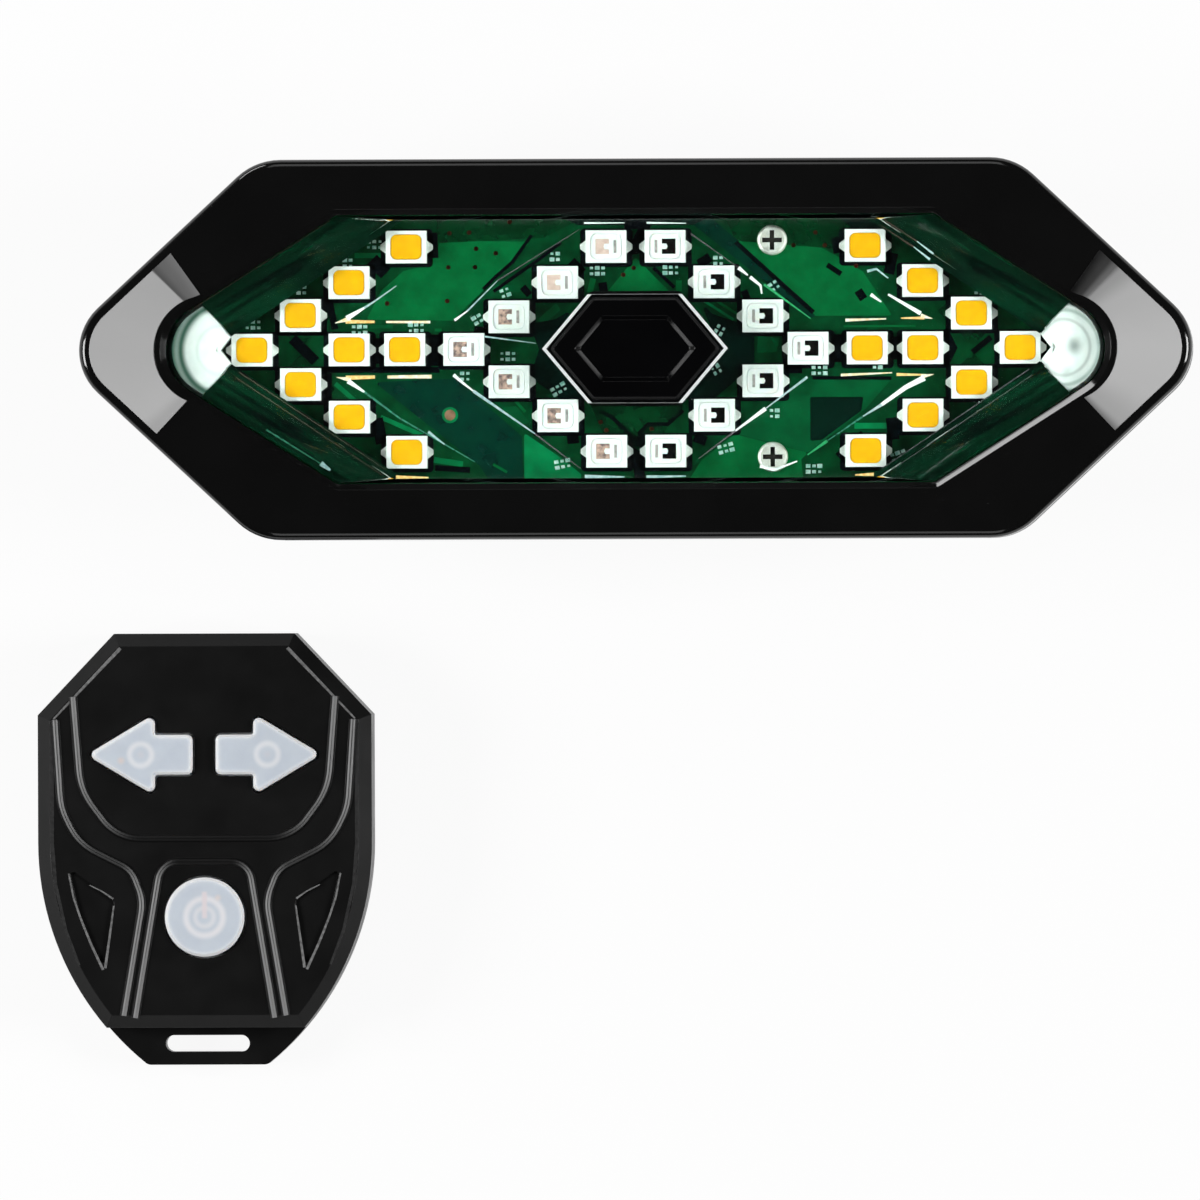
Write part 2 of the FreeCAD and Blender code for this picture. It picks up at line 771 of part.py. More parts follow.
def lens_seal():
    """Silicone ring squeezed between the tray's collar and the lens's flange."""
    outer = collar_outside.inset(seal_margin)
    inner = collar_inside.inset(-seal_margin)
    return outer.prism(seal_bottom, flange_bottom).cut(inner.prism(seal_bottom, flange_bottom))


# Circuit board and lights


def main_board():
    """Green board that carries the lights, the switch and the parts under it."""
    board = board_outline.prism(board_bottom, board_top)
    for x, y in board_screw_places:
        board = board.cut(post(x, y, board_bottom, board_top,
                               board_screw_radius + screw_clearance))
    return board


def board_screw_set():
    """Two small screws that hold the board down, seen through the lens."""
    screws = []
    for x, y in board_screw_places:
        head = post(x, y, board_top, board_top + board_screw_head_height,
                    board_screw_head_radius)
        head = head.makeFillet(board_screw_head_height / 3,
                               edges_at(head, board_top + board_screw_head_height))
        depth = board_screw_head_height / 2
        for length, width in ((board_cross_length, board_cross_width),
                              (board_cross_width, board_cross_length)):
            head = head.cut(block(x, y, board_top + board_screw_head_height - depth,
                                  length, width, depth))
        shank = post(x, y, board_bottom - board_screw_length + screw_clearance, board_top,
                     board_screw_radius)
        screws.append(join([head, shank]))
    return Part.makeCompound(screws)


def led_bodies(places):
    """White light packages, each with a shallow window in its top."""
    bodies = []
    for x, y in places:
        body = block(x, y, board_top, led_length, led_width, led_height)
        pit = rounded_block(x, y, led_top - led_window_depth, led_window_length,
                            led_window_width, led_window_depth, led_window_corner)
        bodies.append(body.cut(pit))
    return Part.makeCompound(bodies)


def led_windows(places):
    """The cast resin that fills the packages' windows."""
    fills = []
    for x, y in places:
        fills.append(rounded_block(x, y, led_top - led_window_depth,
                                   led_window_length - 2 * led_window_clearance,
                                   led_window_width - 2 * led_window_clearance,
                                   led_window_fill, led_window_corner - led_window_clearance))
    return Part.makeCompound(fills)


def led_terminals(places):
    """Tinned terminals at both ends of each light package, tapered outwards."""
    feet = []
    for x, y in places:
        for side in (-1, 1):
            root = x + side * led_length / 2
            end = root + side * led_terminal_reach
            corners = [(root, y - led_terminal_root / 2), (end, y - led_terminal_end / 2),
                       (end, y + led_terminal_end / 2), (root, y + led_terminal_root / 2)]
            feet.append(sharp_prism(corners, board_top, board_top + led_terminal_height))
    return Part.makeCompound(feet)


def both_sides(places):
    """Places on the right together with their mirror images on the left."""
    return places + [(-x, y) for x, y in places]


def tip_reflector(side):
    """White light guide in one tip of the window, notched around the last light."""
    top = lens_bottom - tip_reflector_gap
    reach = window_length
    slope = math.radians(90 - lamp_side_angle)
    start = window_length / 2 - tip_reflector_length
    points = [(start + tip_reflector_notch, 0), (start, tip_reflector_half),
              (start + reach * math.cos(slope), tip_reflector_half + reach * math.sin(slope)),
              (start + reach * math.cos(slope), -tip_reflector_half - reach * math.sin(slope)),
              (start, -tip_reflector_half)]
    wedge = sharp_prism(points, board_top, top)
    guide = window.inset(tip_reflector_inset).prism(board_top, top).common(wedge)
    return guide if side > 0 else guide.mirror(at(0, 0), at(1, 0, 0))


# Power button


def power_button():
    """Six-sided push button with a dished top and a flange under the lens."""
    top = lens_top + button_proud
    flange_top = lens_bottom - button_flange_gap
    flange_base = flange_top - button_flange_thickness
    stem = button_outline.prism(flange_base, top)
    stem = stem.makeChamfer(button_edge, edges_at(stem, top))
    flange = button_outline.inset(-button_flange).prism(flange_base, flange_top)
    button = join([stem, flange])
    dish_floor = button_outline.inset(button_dish_inset + button_dish_depth)
    dish = Part.makeLoft([dish_floor.wire(top - button_dish_depth),
                          button_outline.inset(button_dish_inset).wire(top)], True, True)
    return button.cut(dish)


def lamp_switch():
    """Body of the switch under the power button, with a hole for its plunger."""
    body = block(0, 0, board_top, lamp_switch_length, lamp_switch_width, lamp_switch_height)
    return body.cut(post(0, 0, lamp_plunger_top() - plunger_length - button_travel,
                         led_top, plunger_radius + plunger_clearance))


def lamp_plunger_top():
    """Height of the switch plunger's top, just under the button's flange."""
    return lens_bottom - button_flange_gap - button_flange_thickness - plunger_gap


def lamp_plunger():
    """Plunger of the switch under the power button."""
    top = lamp_plunger_top()
    return post(0, 0, top - plunger_length, top, plunger_radius)


# Battery and the parts under the board


def battery_cell():
    """Flat lithium cell that lies on the socket's roof and two ribs."""
    cell = block(0, 0, battery_bottom, battery_length, battery_width, battery_thickness)
    long_edges = [e for e in cell.Edges if abs(e.Length - battery_length) < 1e-6]
    return cell.makeFillet(battery_edge_radius, long_edges)


def battery_foam():
    """Foam pad between the socket's roof and the cell."""
    return block(0, 0, roof_top, foam_length, foam_width, foam_thickness)


def battery_lead(side):
    """Short insulated wire from the cell's end up to the board."""
    y = side * lead_spacing / 2
    z = battery_bottom + battery_thickness / 2
    start = at(battery_length / 2, y, z)
    corner = at(battery_length / 2 + lead_reach, y, z)
    path = Part.Wire(rounded_edges([start, corner, at(corner.x, y, board_bottom)],
                                   [0, lead_bend, 0], closed=False))
    section = Part.Wire(Part.makeCircle(lead_radius, start, at(1, 0, 0)))
    return path.makePipeShell([section], True, False)


def control_chip():
    """Controller chip under the board, with its two rows of legs."""
    body = block(chip_position, 0, board_bottom - chip_height, chip_width, chip_length,
                 chip_height)
    legs = []
    count = int(chip_length // chip_leg_pitch)
    for i in range(count):
        y = (i - (count - 1) / 2) * chip_leg_pitch
        for side in (-1, 1):
            legs.append(block(chip_position + side * (chip_width + chip_leg - chip_leg_root) / 2,
                              y, board_bottom - chip_height / 2, chip_leg + chip_leg_root,
                              chip_leg_width, chip_height / 2))
    return join([body] + legs)


def radio_module():
    """Receiver module on pins under the board."""
    low = board_bottom - radio_drop
    plate = block(radio_x, radio_y, low, radio_length, radio_width, radio_thickness)
    pin_foot = low + radio_thickness / 2
    pins = [block(radio_x + i * radio_pin_pitch, radio_y + radio_width / 2 - radio_pin,
                  pin_foot, radio_pin, radio_pin, board_bottom - pin_foot)
            for i in (-1.5, -0.5, 0.5, 1.5)]
    shield = rounded_block(radio_x, radio_y, low - radio_shield_thickness,
                           radio_length - 2 * radio_shield_margin,
                           radio_width - 2 * radio_shield_margin, radio_shield_thickness,
                           radio_pin / 2)
    return join([plate, shield] + pins)


def board_components():
    """Charging coil, capacitors and diodes under the board."""
    coil = post(inductor_x, inductor_y, board_bottom - inductor_height, board_bottom,
                inductor_radius)
    parts = [coil]
    beyond_chip = chip_position - chip_width / 2 - chip_leg - part_spacing - capacitor_length / 2
    for y in (-part_spacing, part_spacing):
        parts.append(block(beyond_chip, y, board_bottom - capacitor_height, capacitor_length,
                           capacitor_width, capacitor_height))
    parts.append(block(inductor_x, -inductor_y, board_bottom - diode_height, diode_width,
                       diode_length, diode_height))
    beside_screw = board_screw_x + board_boss_radius + part_spacing + diode_length / 2
    parts.append(block(beside_screw, board_screw_y, board_bottom - diode_height, diode_length,
                       diode_width, diode_height))
    parts.append(block(-beside_screw, board_screw_y, board_bottom - capacitor_height,
                       capacitor_length, capacitor_width, capacitor_height))
    return Part.makeCompound(parts)


# Charging socket and its cover


def usb_socket():
    """Charging socket under the board's edge: a metal shell with its tongue."""
    shell = port_slot(0, usb_mouth, usb_mouth + usb_depth)
    cavity = port_slot(-usb_wall, usb_mouth, usb_mouth + usb_depth - usb_wall)
    tongue_start = port_y + usb_mouth + usb_tongue_setback
    tongue_end = port_y + usb_mouth + usb_depth - usb_wall / 2
    tongue = Part.makeBox(usb_tongue_width, tongue_end - tongue_start, usb_tongue_thickness,
                          at(usb_x - usb_tongue_width / 2, tongue_start,
                             usb_middle - usb_tongue_thickness / 2))
    return join([shell.cut(cavity), tongue])


def usb_cover():
    """Soft cover that closes the charging port, with its plug and its hinge roll."""
    hinge = cover_hinge()
    plate = Part.makeBox(cover_length - cover_thickness / 2, cover_thickness, cover_height,
                         at(hinge.x, port_y, usb_middle - cover_height / 2))
    roll = Part.makeCylinder(cover_thickness / 2, cover_height,
                             at(hinge.x, hinge.y, usb_middle - cover_height / 2))
    plug = port_slot(usb_port_margin - cover_plug_clearance, cover_thickness / 2,
                     cover_thickness + cover_plug_depth)
    return join([plate, roll, plug])


# Bracket


def saddle_pad():
    """Rubber pad that seats on the seat post, and is the foot that the lamp lies on."""
    pad = rounded_block(0, 0, 0, 2 * pad_half_width, pad_length, pad_top, pad_corner)
    trough = Part.makeCylinder(post_radius, pad_length + 2,
                               at(0, -pad_length / 2 - 1, saddle_axis_z), at(0, 1, 0))
    return pad.cut(trough)


def bracket_base():
    """Channel over the pad, with a hook at each corner for the rubber rings."""
    outer_half = pad_half_width + bracket_wall
    shell = rounded_block(0, 0, bracket_lift, 2 * outer_half, bracket_length,
                          bracket_top - bracket_lift, bracket_corner)
    shell = shell.makeChamfer(bracket_chamfer, edges_at(shell, bracket_top))
    channel = block(0, 0, bracket_lift, 2 * pad_half_width, bracket_length + 2,
                    pad_top - bracket_lift)
    base = shell.cut(channel)
    hooks = []
    for sx in (-1, 1):
        for sy in (-1, 1):
            arm_middle = sx * (outer_half + (hook_reach - bracket_wall / 2) / 2)
            y = sy * hook_spacing / 2
            arm = block(arm_middle, y, hook_height, hook_reach + bracket_wall / 2, hook_width,
                        hook_arm)
            lip = block(sx * (outer_half + hook_reach - hook_lip_thickness / 2), y,
                        hook_height, hook_lip_thickness, hook_width, hook_arm + hook_lip)
            hooks += [arm, lip]
    base = join([base] + hooks)
    groove = Part.makeTorus(friction_ring_radius, friction_ring_section,
                            at(0, 0, bracket_top - friction_ring_section + bayonet_gap / 2))
    base = base.cut(groove)
    base = base.cut(post(0, 0, pad_top, bracket_top, bayonet_screw_radius + screw_clearance))
    return base.cut(screw_cone(screw_clearance))


def screw_cone(clearance):
    """Countersunk head of the bayonet screw, under the bracket's plate."""
    depth = bayonet_screw_head_radius - bayonet_screw_radius
    return Part.makeCone(bayonet_screw_head_radius + clearance, bayonet_screw_radius + clearance,
                         depth, at(0, 0, pad_top))


def bayonet_disc():
    """Disc with two tabs that locks the lamp to the bracket with part of a turn."""
    neck = post(0, 0, bracket_top, tab_top, bayonet_neck_radius)
    tabs = [sector(bayonet_tab_radius, tab_bottom, tab_top, a, bayonet_tab_angle)
            for a in (0, 180)]
    disc = join([neck] + tabs)
    return disc.cut(post(0, 0, bracket_top, tab_top - bayonet_tab_thickness / 2,
                         bayonet_screw_radius + thread_clearance))


def bayonet_screw():
    """Countersunk screw that holds the disc on the bracket."""
    shank = post(0, 0, pad_top, tab_top - bayonet_tab_thickness, bayonet_screw_radius)
    screw = join([screw_cone(0), shank])
    turns = [math.radians(60 * i) for i in range(6)]
    corners = [(hex_socket_radius * math.cos(t), hex_socket_radius * math.sin(t)) for t in turns]
    return screw.cut(sharp_prism(corners, pad_top, pad_top + hex_socket_depth))


def friction_ring():
    """Rubber ring in the bracket's top that steadies the lamp on it."""
    return Part.makeTorus(friction_ring_radius, friction_ring_section - thread_clearance,
                          at(0, 0, bracket_top - friction_ring_section + bayonet_gap / 2))


# Remote casing


def remote_arc_radius():
    """Radius of the remote's curved sides: they start upright and end at the lower edge."""
    drop = remote_height - remote_side_arc_start
    draw_in = remote_width / 2 - remote_bottom_half
    return (draw_in ** 2 + drop ** 2) / (2 * draw_in)


def remote_half_width(y):
    """Half the remote's width at height y, where its sides curve."""
    radius = remote_arc_radius()
    drop = remote_height / 2 - remote_side_arc_start - y
    return math.sqrt(radius ** 2 - drop ** 2) - radius + remote_width / 2


def remote_outline(inset=0.0, tab=True):
    """Wire of the remote seen from the front, moved inwards by inset."""
    top = remote_height / 2 - inset
    side = remote_width / 2 - inset
    shoulder_slope = math.atan2(remote_shoulder_drop, remote_width / 2 - remote_top_half)
    shoulder_shift = inset * math.tan(shoulder_slope / 2)
    top_half = remote_top_half - shoulder_shift
    shoulder_y = remote_height / 2 - remote_shoulder_drop - inset * math.tan(
        (math.pi / 2 - shoulder_slope) / 2)
    arc_y = remote_height / 2 - remote_side_arc_start
    full_radius = remote_arc_radius()
    radius = full_radius - inset
    centre_x = full_radius - remote_width / 2
    bottom = -remote_height / 2 + inset
    if not tab:
        bottom += remote_tab
    drop = arc_y - bottom
    bottom_half = math.sqrt(radius ** 2 - drop ** 2) - centre_x
    turn = math.asin(drop / radius) / 2
    middle = (radius * math.cos(turn) - centre_x, arc_y - radius * math.sin(turn))
    points = [at(bottom_half, bottom), at(side, arc_y), at(side, shoulder_y), at(top_half, top),
              at(-top_half, top), at(-side, shoulder_y), at(-side, arc_y),
              at(-bottom_half, bottom)]
    edges = [Part.Arc(points[0], at(*middle), points[1]).toShape()]
    edges += [Part.LineSegment(points[i], points[i + 1]).toShape() for i in range(1, 6)]
    edges.append(Part.Arc(points[6], at(-middle[0], middle[1]), points[7]).toShape())
    edges.append(Part.LineSegment(points[7], points[0]).toShape())
    return Part.Wire(edges)


def remote_screw_places():
    """Places of the four screws: two beside the shoulders and two beside the curved sides."""
    upper_x = remote_width / 2 - upper_screw_from_side
    upper_y = remote_height / 2 - upper_screw_from_top
    lower_y = -remote_height / 2 + remote_tab + lower_screw_from_edge
    lower_x = remote_half_width(lower_y) - lower_screw_from_side
    return [(upper_x, upper_y), (-upper_x, upper_y), (lower_x, lower_y), (-lower_x, lower_y)]


def remote_prism(bottom, top, inset=0.0, tab=True):
    """A solid of the remote's outline between two heights."""
    solid = Part.Face(remote_outline(inset, tab)).extrude(at(0, 0, top - bottom))
    solid.translate(at(0, 0, bottom))
    return solid


def upright_edges(shape, low_y, high_y):
    """Upright edges of a shape between two Y values."""
    return [e for e in shape.Edges
            if e.BoundBox.ZLength > 1e-3 and e.BoundBox.XLength < 1e-4
            and e.BoundBox.YLength < 1e-4 and low_y < e.BoundBox.YMin < high_y]


def lanyard_slot(bottom, top):
    """The slot through the remote's tab."""
    return slot_prism(0, -remote_height / 2 + slot_from_bottom, bottom, slot_length, slot_width,
                      top - bottom)


def remote_bottom_shell():
    """Lower half of the remote with the tab, the cell's cup and four screw bosses."""
    body = remote_prism(0, remote_parting, tab=False)
    body = body.makeChamfer(remote_back_chamfer, edges_at(body, 0))
    body = body.cut(remote_prism(remote_floor, remote_parting, remote_wall, tab=False))
    tab = remote_prism(remote_tab_lift, remote_tab_lift + remote_tab_thickness)
    tab = tab.makeFillet(remote_corner_radius,
                         upright_edges(tab, -remote_height / 2 - 1, -remote_height / 2 + 1))
    tab = tab.cut(block(0, remote_height / 2 - remote_tab / 2, 0, remote_width,
                        2 * (remote_height - remote_tab) - remote_tab, remote_face))
    cup_radius = door_radius + door_clearance + cup_wall
    additions = [tab, post(0, 0, remote_floor / 2, cell_top - cell_clearance, cup_radius)]
    for x, y in remote_screw_places():
        additions.append(post(x, y, remote_floor / 2, remote_parting, remote_boss_radius))
    shell = join([body] + additions).cut(lanyard_slot(0, remote_face))
    shell = shell.common(remote_prism(0, remote_parting))
    seat = remote_screw_sink + remote_screw_head_height + thread_clearance
    cuts = [post(0, 0, 0, remote_parting, cell_radius + cell_clearance), door_space()]
    for x, y in remote_screw_places():
        cuts.append(post(x, y, 0, remote_parting, remote_screw_radius + screw_clearance))
        cuts.append(post(x, y, 0, seat, remote_screw_head_radius + screw_clearance))
    cuts.append(contact_notch())
    for cut in cuts:
        shell = shell.cut(cut)
    return shell.removeSplitter()


def door_space():
    """Space that the cell door fills and turns in: its seat, its ways in and its groove."""
    reach = door_radius + door_clearance
    ledge_bottom = door_bottom + door_plate + door_gap
    groove_top = door_top + door_gap
    seat = post(0, 0, 0, ledge_bottom, reach)
    groove = post(0, 0, ledge_bottom + door_ledge, groove_top, reach)
    entries = [sector(reach, ledge_bottom, groove_top, a + door_entry_turn,
                      door_tab_angle + door_entry_play) for a in door_tab_middles]
    return join([seat, groove] + entries)


def cell_door():
    """Round door with a coin slot and three tabs, under the remote."""
    plate = post(0, 0, door_bottom, door_bottom + door_plate, door_radius)
    neck = post(0, 0, door_bottom, door_top, door_neck_radius)
    tabs = [sector(door_radius - door_clearance, door_neck_top, door_top, a, door_tab_angle)
            for a in door_tab_middles]
    door = join([plate, neck] + tabs)
    hollow = post(0, 0, door_bottom + door_plate + door_gap, door_top,
                  door_neck_radius - door_rim)
    coin = slot_prism(0, 0, door_bottom, door_slot_length, door_slot_width, door_slot_depth)
    return door.cut(hollow).cut(coin)


def door_seal():
    """Thin rubber washer between the door's plate and the ledge, pressed flat."""
    low = door_bottom + door_plate
    return tube(0, 0, low, low + door_gap, door_radius - door_seal_inset,
                door_neck_radius + door_seal_outset)


def arrow_points(margin=0.0):
    """Outline of the right-hand arrow key, moved outwards by margin."""
    slope = math.atan2(arrow_half_head, arrow_tip - arrow_back)
    y = arrow_y
    tip = arrow_tip + margin / math.sin(slope)
    back = arrow_back - margin
    head = (tip - back) * math.tan(slope)
    shaft = arrow_half_shaft + margin
    end = arrow_end - margin
    return [(tip, y), (back, y + head), (back, y + shaft), (end, y + shaft),
            (end, y - shaft), (back, y - shaft), (back, y - head)]


def arrow_radii(margin=0.0):
    """Rounding of the arrow's corners: outer ones grow with the margin, inner ones don't."""
    outer = arrow_corner + max(margin, 0) / 2
    inner = arrow_inner_corner
    return [outer, outer, inner, outer, outer, inner, outer]


def arrow_prism(side, margin, bottom, top):
    """Solid of an arrow key's outline; side 1 points right and -1 points left."""
    points = [(side * x, y) for x, y in arrow_points(margin)]
    return prism(points, arrow_radii(margin), bottom, top)


def arrow_key(side):
    """Translucent arrow key with a flange under the shell."""
    top = remote_face + key_proud
    stem = arrow_prism(side, 0, key_bottom, top)
    stem = stem.makeChamfer(arrow_chamfer, edges_at(stem, top))
    flange = arrow_prism(side, key_flange, key_bottom, key_bottom + key_flange_thickness)
    return join([stem, flange])


def power_key():
    """Translucent round key with a flange under the shell."""
    top = remote_face + key_proud
    stem = post(0, power_key_y, key_bottom, top, power_key_radius)
    stem = stem.makeChamfer(power_key_chamfer, edges_at(stem, top))
    flange = post(0, power_key_y, key_bottom, key_bottom + key_flange_thickness,
                  power_key_radius + key_flange)
    return join([stem, flange])


def bead(points, radii):
    """A low rounded line on the remote's face, along a run of points."""
    z = remote_face + bead_height - bead_radius
    run = [at(x, y, z) for x, y in points]
    path = Part.Wire(rounded_edges(run, radii, closed=False))
    section = Part.Wire(Part.makeCircle(bead_radius, run[0], run[1] - run[0]))
    return path.makePipeShell([section], True, False)


def on_face(places, side=1):
    """Places on the remote's face in mm: shares of its half width, and of its length from below."""
    low = -remote_height / 2 + remote_tab
    return [(side * u * remote_width / 2, low + v * (remote_height / 2 - low))
            for u, v in places]


def remote_beads():
    """The raised lines: the bowl round the arrows, the frame of the power key and two waists."""
    beads = [bead(on_face(bowl_spread), bowl_radii),
             bead(on_face(key_frame_spread), key_frame_radii)]
    for side in (-1, 1):
        beads.append(bead(on_face(waist_spread, side), waist_radii))
    return beads


def side_recess(side):
    """Shallow pointed recess beside the power key; side 1 is the right-hand one."""
    return prism(on_face(recess_spread, side), recess_radii,
                 remote_face - recess_depth, remote_face + 1)


def remote_top_shell():
    """Upper half of the remote: bevelled edge, raised lines, key openings and bosses."""
    base = remote_parting + remote_gasket_thickness
    body = remote_prism(base, remote_face, tab=False)
    body = body.makeChamfer(remote_edge, edges_at(body, remote_face))
    body = join([body] + remote_beads())
    body = body.cut(remote_prism(base, remote_plate_bottom, remote_wall, tab=False))
    bosses = []
    for x, y in remote_screw_places():
        boss = post(x, y, base, remote_plate_bottom + remote_plate / 2, remote_boss_radius)
        bosses.append(boss)
    shell = join([body] + bosses)
    cuts = [arrow_prism(side, key_clearance, remote_plate_bottom - 1, remote_face + 1)
            for side in (-1, 1)]
    cuts += [side_recess(side) for side in (-1, 1)]
    cuts.append(post(0, power_key_y, remote_plate_bottom - 1, remote_face + 1,
                     power_key_radius + key_clearance))
    for x, y in remote_screw_places():
        cuts.append(post(x, y, base, remote_screw_top() + remote_thread_run_out,
                         remote_screw_radius + thread_clearance))
    for cut in cuts:
        shell = shell.cut(cut)
    return shell.removeSplitter()


def remote_gasket():
    """Thin seal between the remote's two halves."""
    top = remote_parting + remote_gasket_thickness
    ring = remote_prism(remote_parting, top, remote_groove, tab=False).cut(
        remote_prism(remote_parting, top, remote_wall - 0.1, tab=False))
    return ring


def remote_board():
    """Board of the remote, notched around the screw bosses."""
    board = remote_prism(remote_board_bottom, remote_board_top, remote_board_inset, tab=False)
    for x, y in remote_screw_places():
        board = board.cut(post(x, y, remote_board_bottom, remote_board_top,
                               remote_boss_radius + board_clearance))
    return board


def remote_switch_places():
    """Places of the three switches under the keys: left, right and power."""
    return [(-arrow_switch_x, arrow_y), (arrow_switch_x, arrow_y), (0.0, power_key_y)]


def remote_switches():
    """Bodies of the three switches, each with a hole for its plunger."""
    bodies = []
    for x, y in remote_switch_places():
        body = block(x, y, remote_board_top, remote_switch_side, remote_switch_side,
                     remote_switch_height)
        hole = post(x, y, remote_board_top + remote_switch_floor, remote_plunger_top,
                    plunger_radius + plunger_clearance)
        bodies.append(body.cut(hole))
    return Part.makeCompound(bodies)


def remote_plunger(place):
    """Plunger of one of the remote's switches."""
    x, y = place
    foot = remote_board_top + remote_switch_floor + key_travel + remote_plunger_play
    return post(x, y, foot, remote_plunger_top, plunger_radius)


def coin_cell():
    """The remote's coin cell, with its stepped top."""
    can = post(0, 0, cell_bottom, cell_top - cell_step, cell_radius)
    cap = post(0, 0, cell_top - cell_step, cell_top, cell_radius - cell_step_width)
    return join([can.makeFillet(cell_edge_radius, edges_at(can, cell_bottom)), cap])


def contact_notch():
    """Notch in the cup's wall for the side contact."""
    depth = cell_clearance + contact_thickness + contact_gap
    return block(cell_radius + cell_clearance, 0, cell_bottom, 2 * depth,
                 contact_width + 2 * contact_play, remote_parting)


def cell_contact_side():
    """Contact strip that touches the side of the cell."""
    x = cell_radius + contact_thickness / 2 + contact_gap
    foot = cell_bottom + contact_foot
    return block(x, 0, foot, contact_thickness, contact_width, remote_board_bottom - foot)


def cell_contact_top():
    """Contact strip between the cell's top and the board."""
    strip = block(0, 0, cell_top, top_contact_length, top_contact_width, contact_thickness)
    leg_x = (top_contact_length - top_contact_leg) / 2
    legs = [block(s * leg_x, 0, cell_top, top_contact_leg, top_contact_width, cell_to_board)
            for s in (-1, 1)]
    return join([strip] + legs)


def remote_parts_on_board():
    """Transmitter chip, crystal and two small capacitors on the remote's board."""
    low = remote_board_top
    y = (arrow_y + power_key_y) / 2
    crystal_x = remote_chip_side / 2 + remote_part_spacing + remote_crystal_length / 2
    capacitor_x = -(remote_chip_side / 2 + remote_part_spacing + remote_capacitor_length / 2)
    parts = [block(0, y, low, remote_chip_side, remote_chip_side, remote_chip_height),
             block(crystal_x, y, low, remote_crystal_length, remote_crystal_width,
                   remote_crystal_height)]
    for step in (-remote_part_spacing / 2, remote_part_spacing / 2):
        parts.append(block(capacitor_x, y + step, low, remote_capacitor_length,
                           remote_capacitor_width, remote_capacitor_height))
    return Part.makeCompound(parts)


def remote_light():
    """Small indicator light under the left arrow key."""
    x = -(arrow_switch_x + remote_switch_side / 2 + indicator_gap + indicator_length / 2)
    return block(x, arrow_y, remote_board_top, indicator_length, indicator_width,
                 indicator_height)


def remote_screw_top():
    """Height at which the remote's screws end, inside the upper bosses."""
    return remote_plate_bottom - remote_screw_end


def remote_screw_set():
    """The four screws that close the remote, from below."""
    screws = []
    low = remote_screw_sink
    seat = low + remote_screw_head_height
    for x, y in remote_screw_places():
        head = post(x, y, low, seat, remote_screw_head_radius)
        cross = Part.makeCompound([
            block(x, y, low, remote_cross_length, remote_cross_width, remote_cross_depth),
            block(x, y, low, remote_cross_width, remote_cross_length, remote_cross_depth)])
        shank = post(x, y, seat, remote_screw_top(), remote_screw_radius)
        screws.append(join([head.cut(cross), shank]))
    return Part.makeCompound(screws)


def lamp_nodes():
    """Every sub-part of the lamp and its bracket, by name."""
    right_turn = turn_led_places
    left_turn = [(-x, y) for x, y in turn_led_places]
    brake = both_sides(brake_led_places)
    return {
        "rear_housing": rear_housing(),
        "front_bezel": front_bezel(),
        "end_panel_left": end_panel(-1),
        "end_panel_right": end_panel(1),
        "case_screws": case_screw_set(),
        "clear_lens": clear_lens(),
        "lens_seal": lens_seal(),
        "main_board": main_board(),
        "board_screws": board_screw_set(),
        "left_turn_leds": led_bodies(left_turn),
        "right_turn_leds": led_bodies(right_turn),
        "brake_leds": led_bodies(brake),
        "left_turn_led_resin": led_windows(left_turn),
        "right_turn_led_resin": led_windows(right_turn),
        "brake_led_resin": led_windows(brake),
        "led_terminals": led_terminals(left_turn + right_turn + brake),
        "tip_light_guide_left": tip_reflector(-1),
        "tip_light_guide_right": tip_reflector(1),
        "power_button": power_button(),
        "power_switch_body": lamp_switch(),
        "power_switch_plunger": lamp_plunger(),
        "battery_cell": battery_cell(),
        "battery_foam": battery_foam(),
        "battery_lead_red": battery_lead(1),
        "battery_lead_black": battery_lead(-1),
        "control_chip": control_chip(),
        "radio_module": radio_module(),
        "board_components": board_components(),
        "charging_socket": usb_socket(),
        "charging_port_cover": usb_cover(),
        "saddle_pad": saddle_pad(),
        "bracket_base": bracket_base(),
        "bayonet_disc": bayonet_disc(),
        "bayonet_screw": bayonet_screw(),
        "friction_ring": friction_ring(),
    }


def remote_nodes():
    """Every sub-part of the remote, by name."""
    left, right, power = remote_switch_places()
    return {
        "remote_bottom_shell": remote_bottom_shell(),
        "remote_top_shell": remote_top_shell(),
        "remote_gasket": remote_gasket(),
        "remote_screws": remote_screw_set(),
        "remote_board": remote_board(),
        "remote_switch_bodies": remote_switches(),
        "remote_board_parts": remote_parts_on_board(),
        "remote_indicator_light": remote_light(),
        "coin_cell": coin_cell(),
        "cell_contact_side": cell_contact_side(),
        "cell_contact_top": cell_contact_top(),
        "left_arrow_key": arrow_key(-1),
        "right_arrow_key": arrow_key(1),
        "power_key": power_key(),
        "left_key_plunger": remote_plunger(left),
        "right_key_plunger": remote_plunger(right),
        "power_key_plunger": remote_plunger(power),
        "cell_door": cell_door(),
        "cell_door_seal": door_seal(),
    }


def main():
    """Builds every sub-part, moves it to its place on the table and writes it."""
    os.makedirs("parts", exist_ok=True)
    for nodes, place in ((lamp_nodes(), lamp_place), (remote_nodes(), remote_place)):
        for name, shape in nodes.items():
            shape = shape.copy()
            shape.translate(place)
            shape.exportStep("parts/" + name + ".step")
            print(name, len(shape.Solids), "solids, valid" if shape.isValid() else "INVALID",
                  round(shape.Volume, 2))


main()
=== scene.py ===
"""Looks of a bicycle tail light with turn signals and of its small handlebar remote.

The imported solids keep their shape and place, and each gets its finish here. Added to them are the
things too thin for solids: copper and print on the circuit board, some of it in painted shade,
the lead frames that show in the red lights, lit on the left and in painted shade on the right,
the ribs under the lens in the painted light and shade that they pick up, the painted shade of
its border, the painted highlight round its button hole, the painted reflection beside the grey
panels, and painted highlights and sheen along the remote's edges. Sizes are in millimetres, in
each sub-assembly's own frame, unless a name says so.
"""

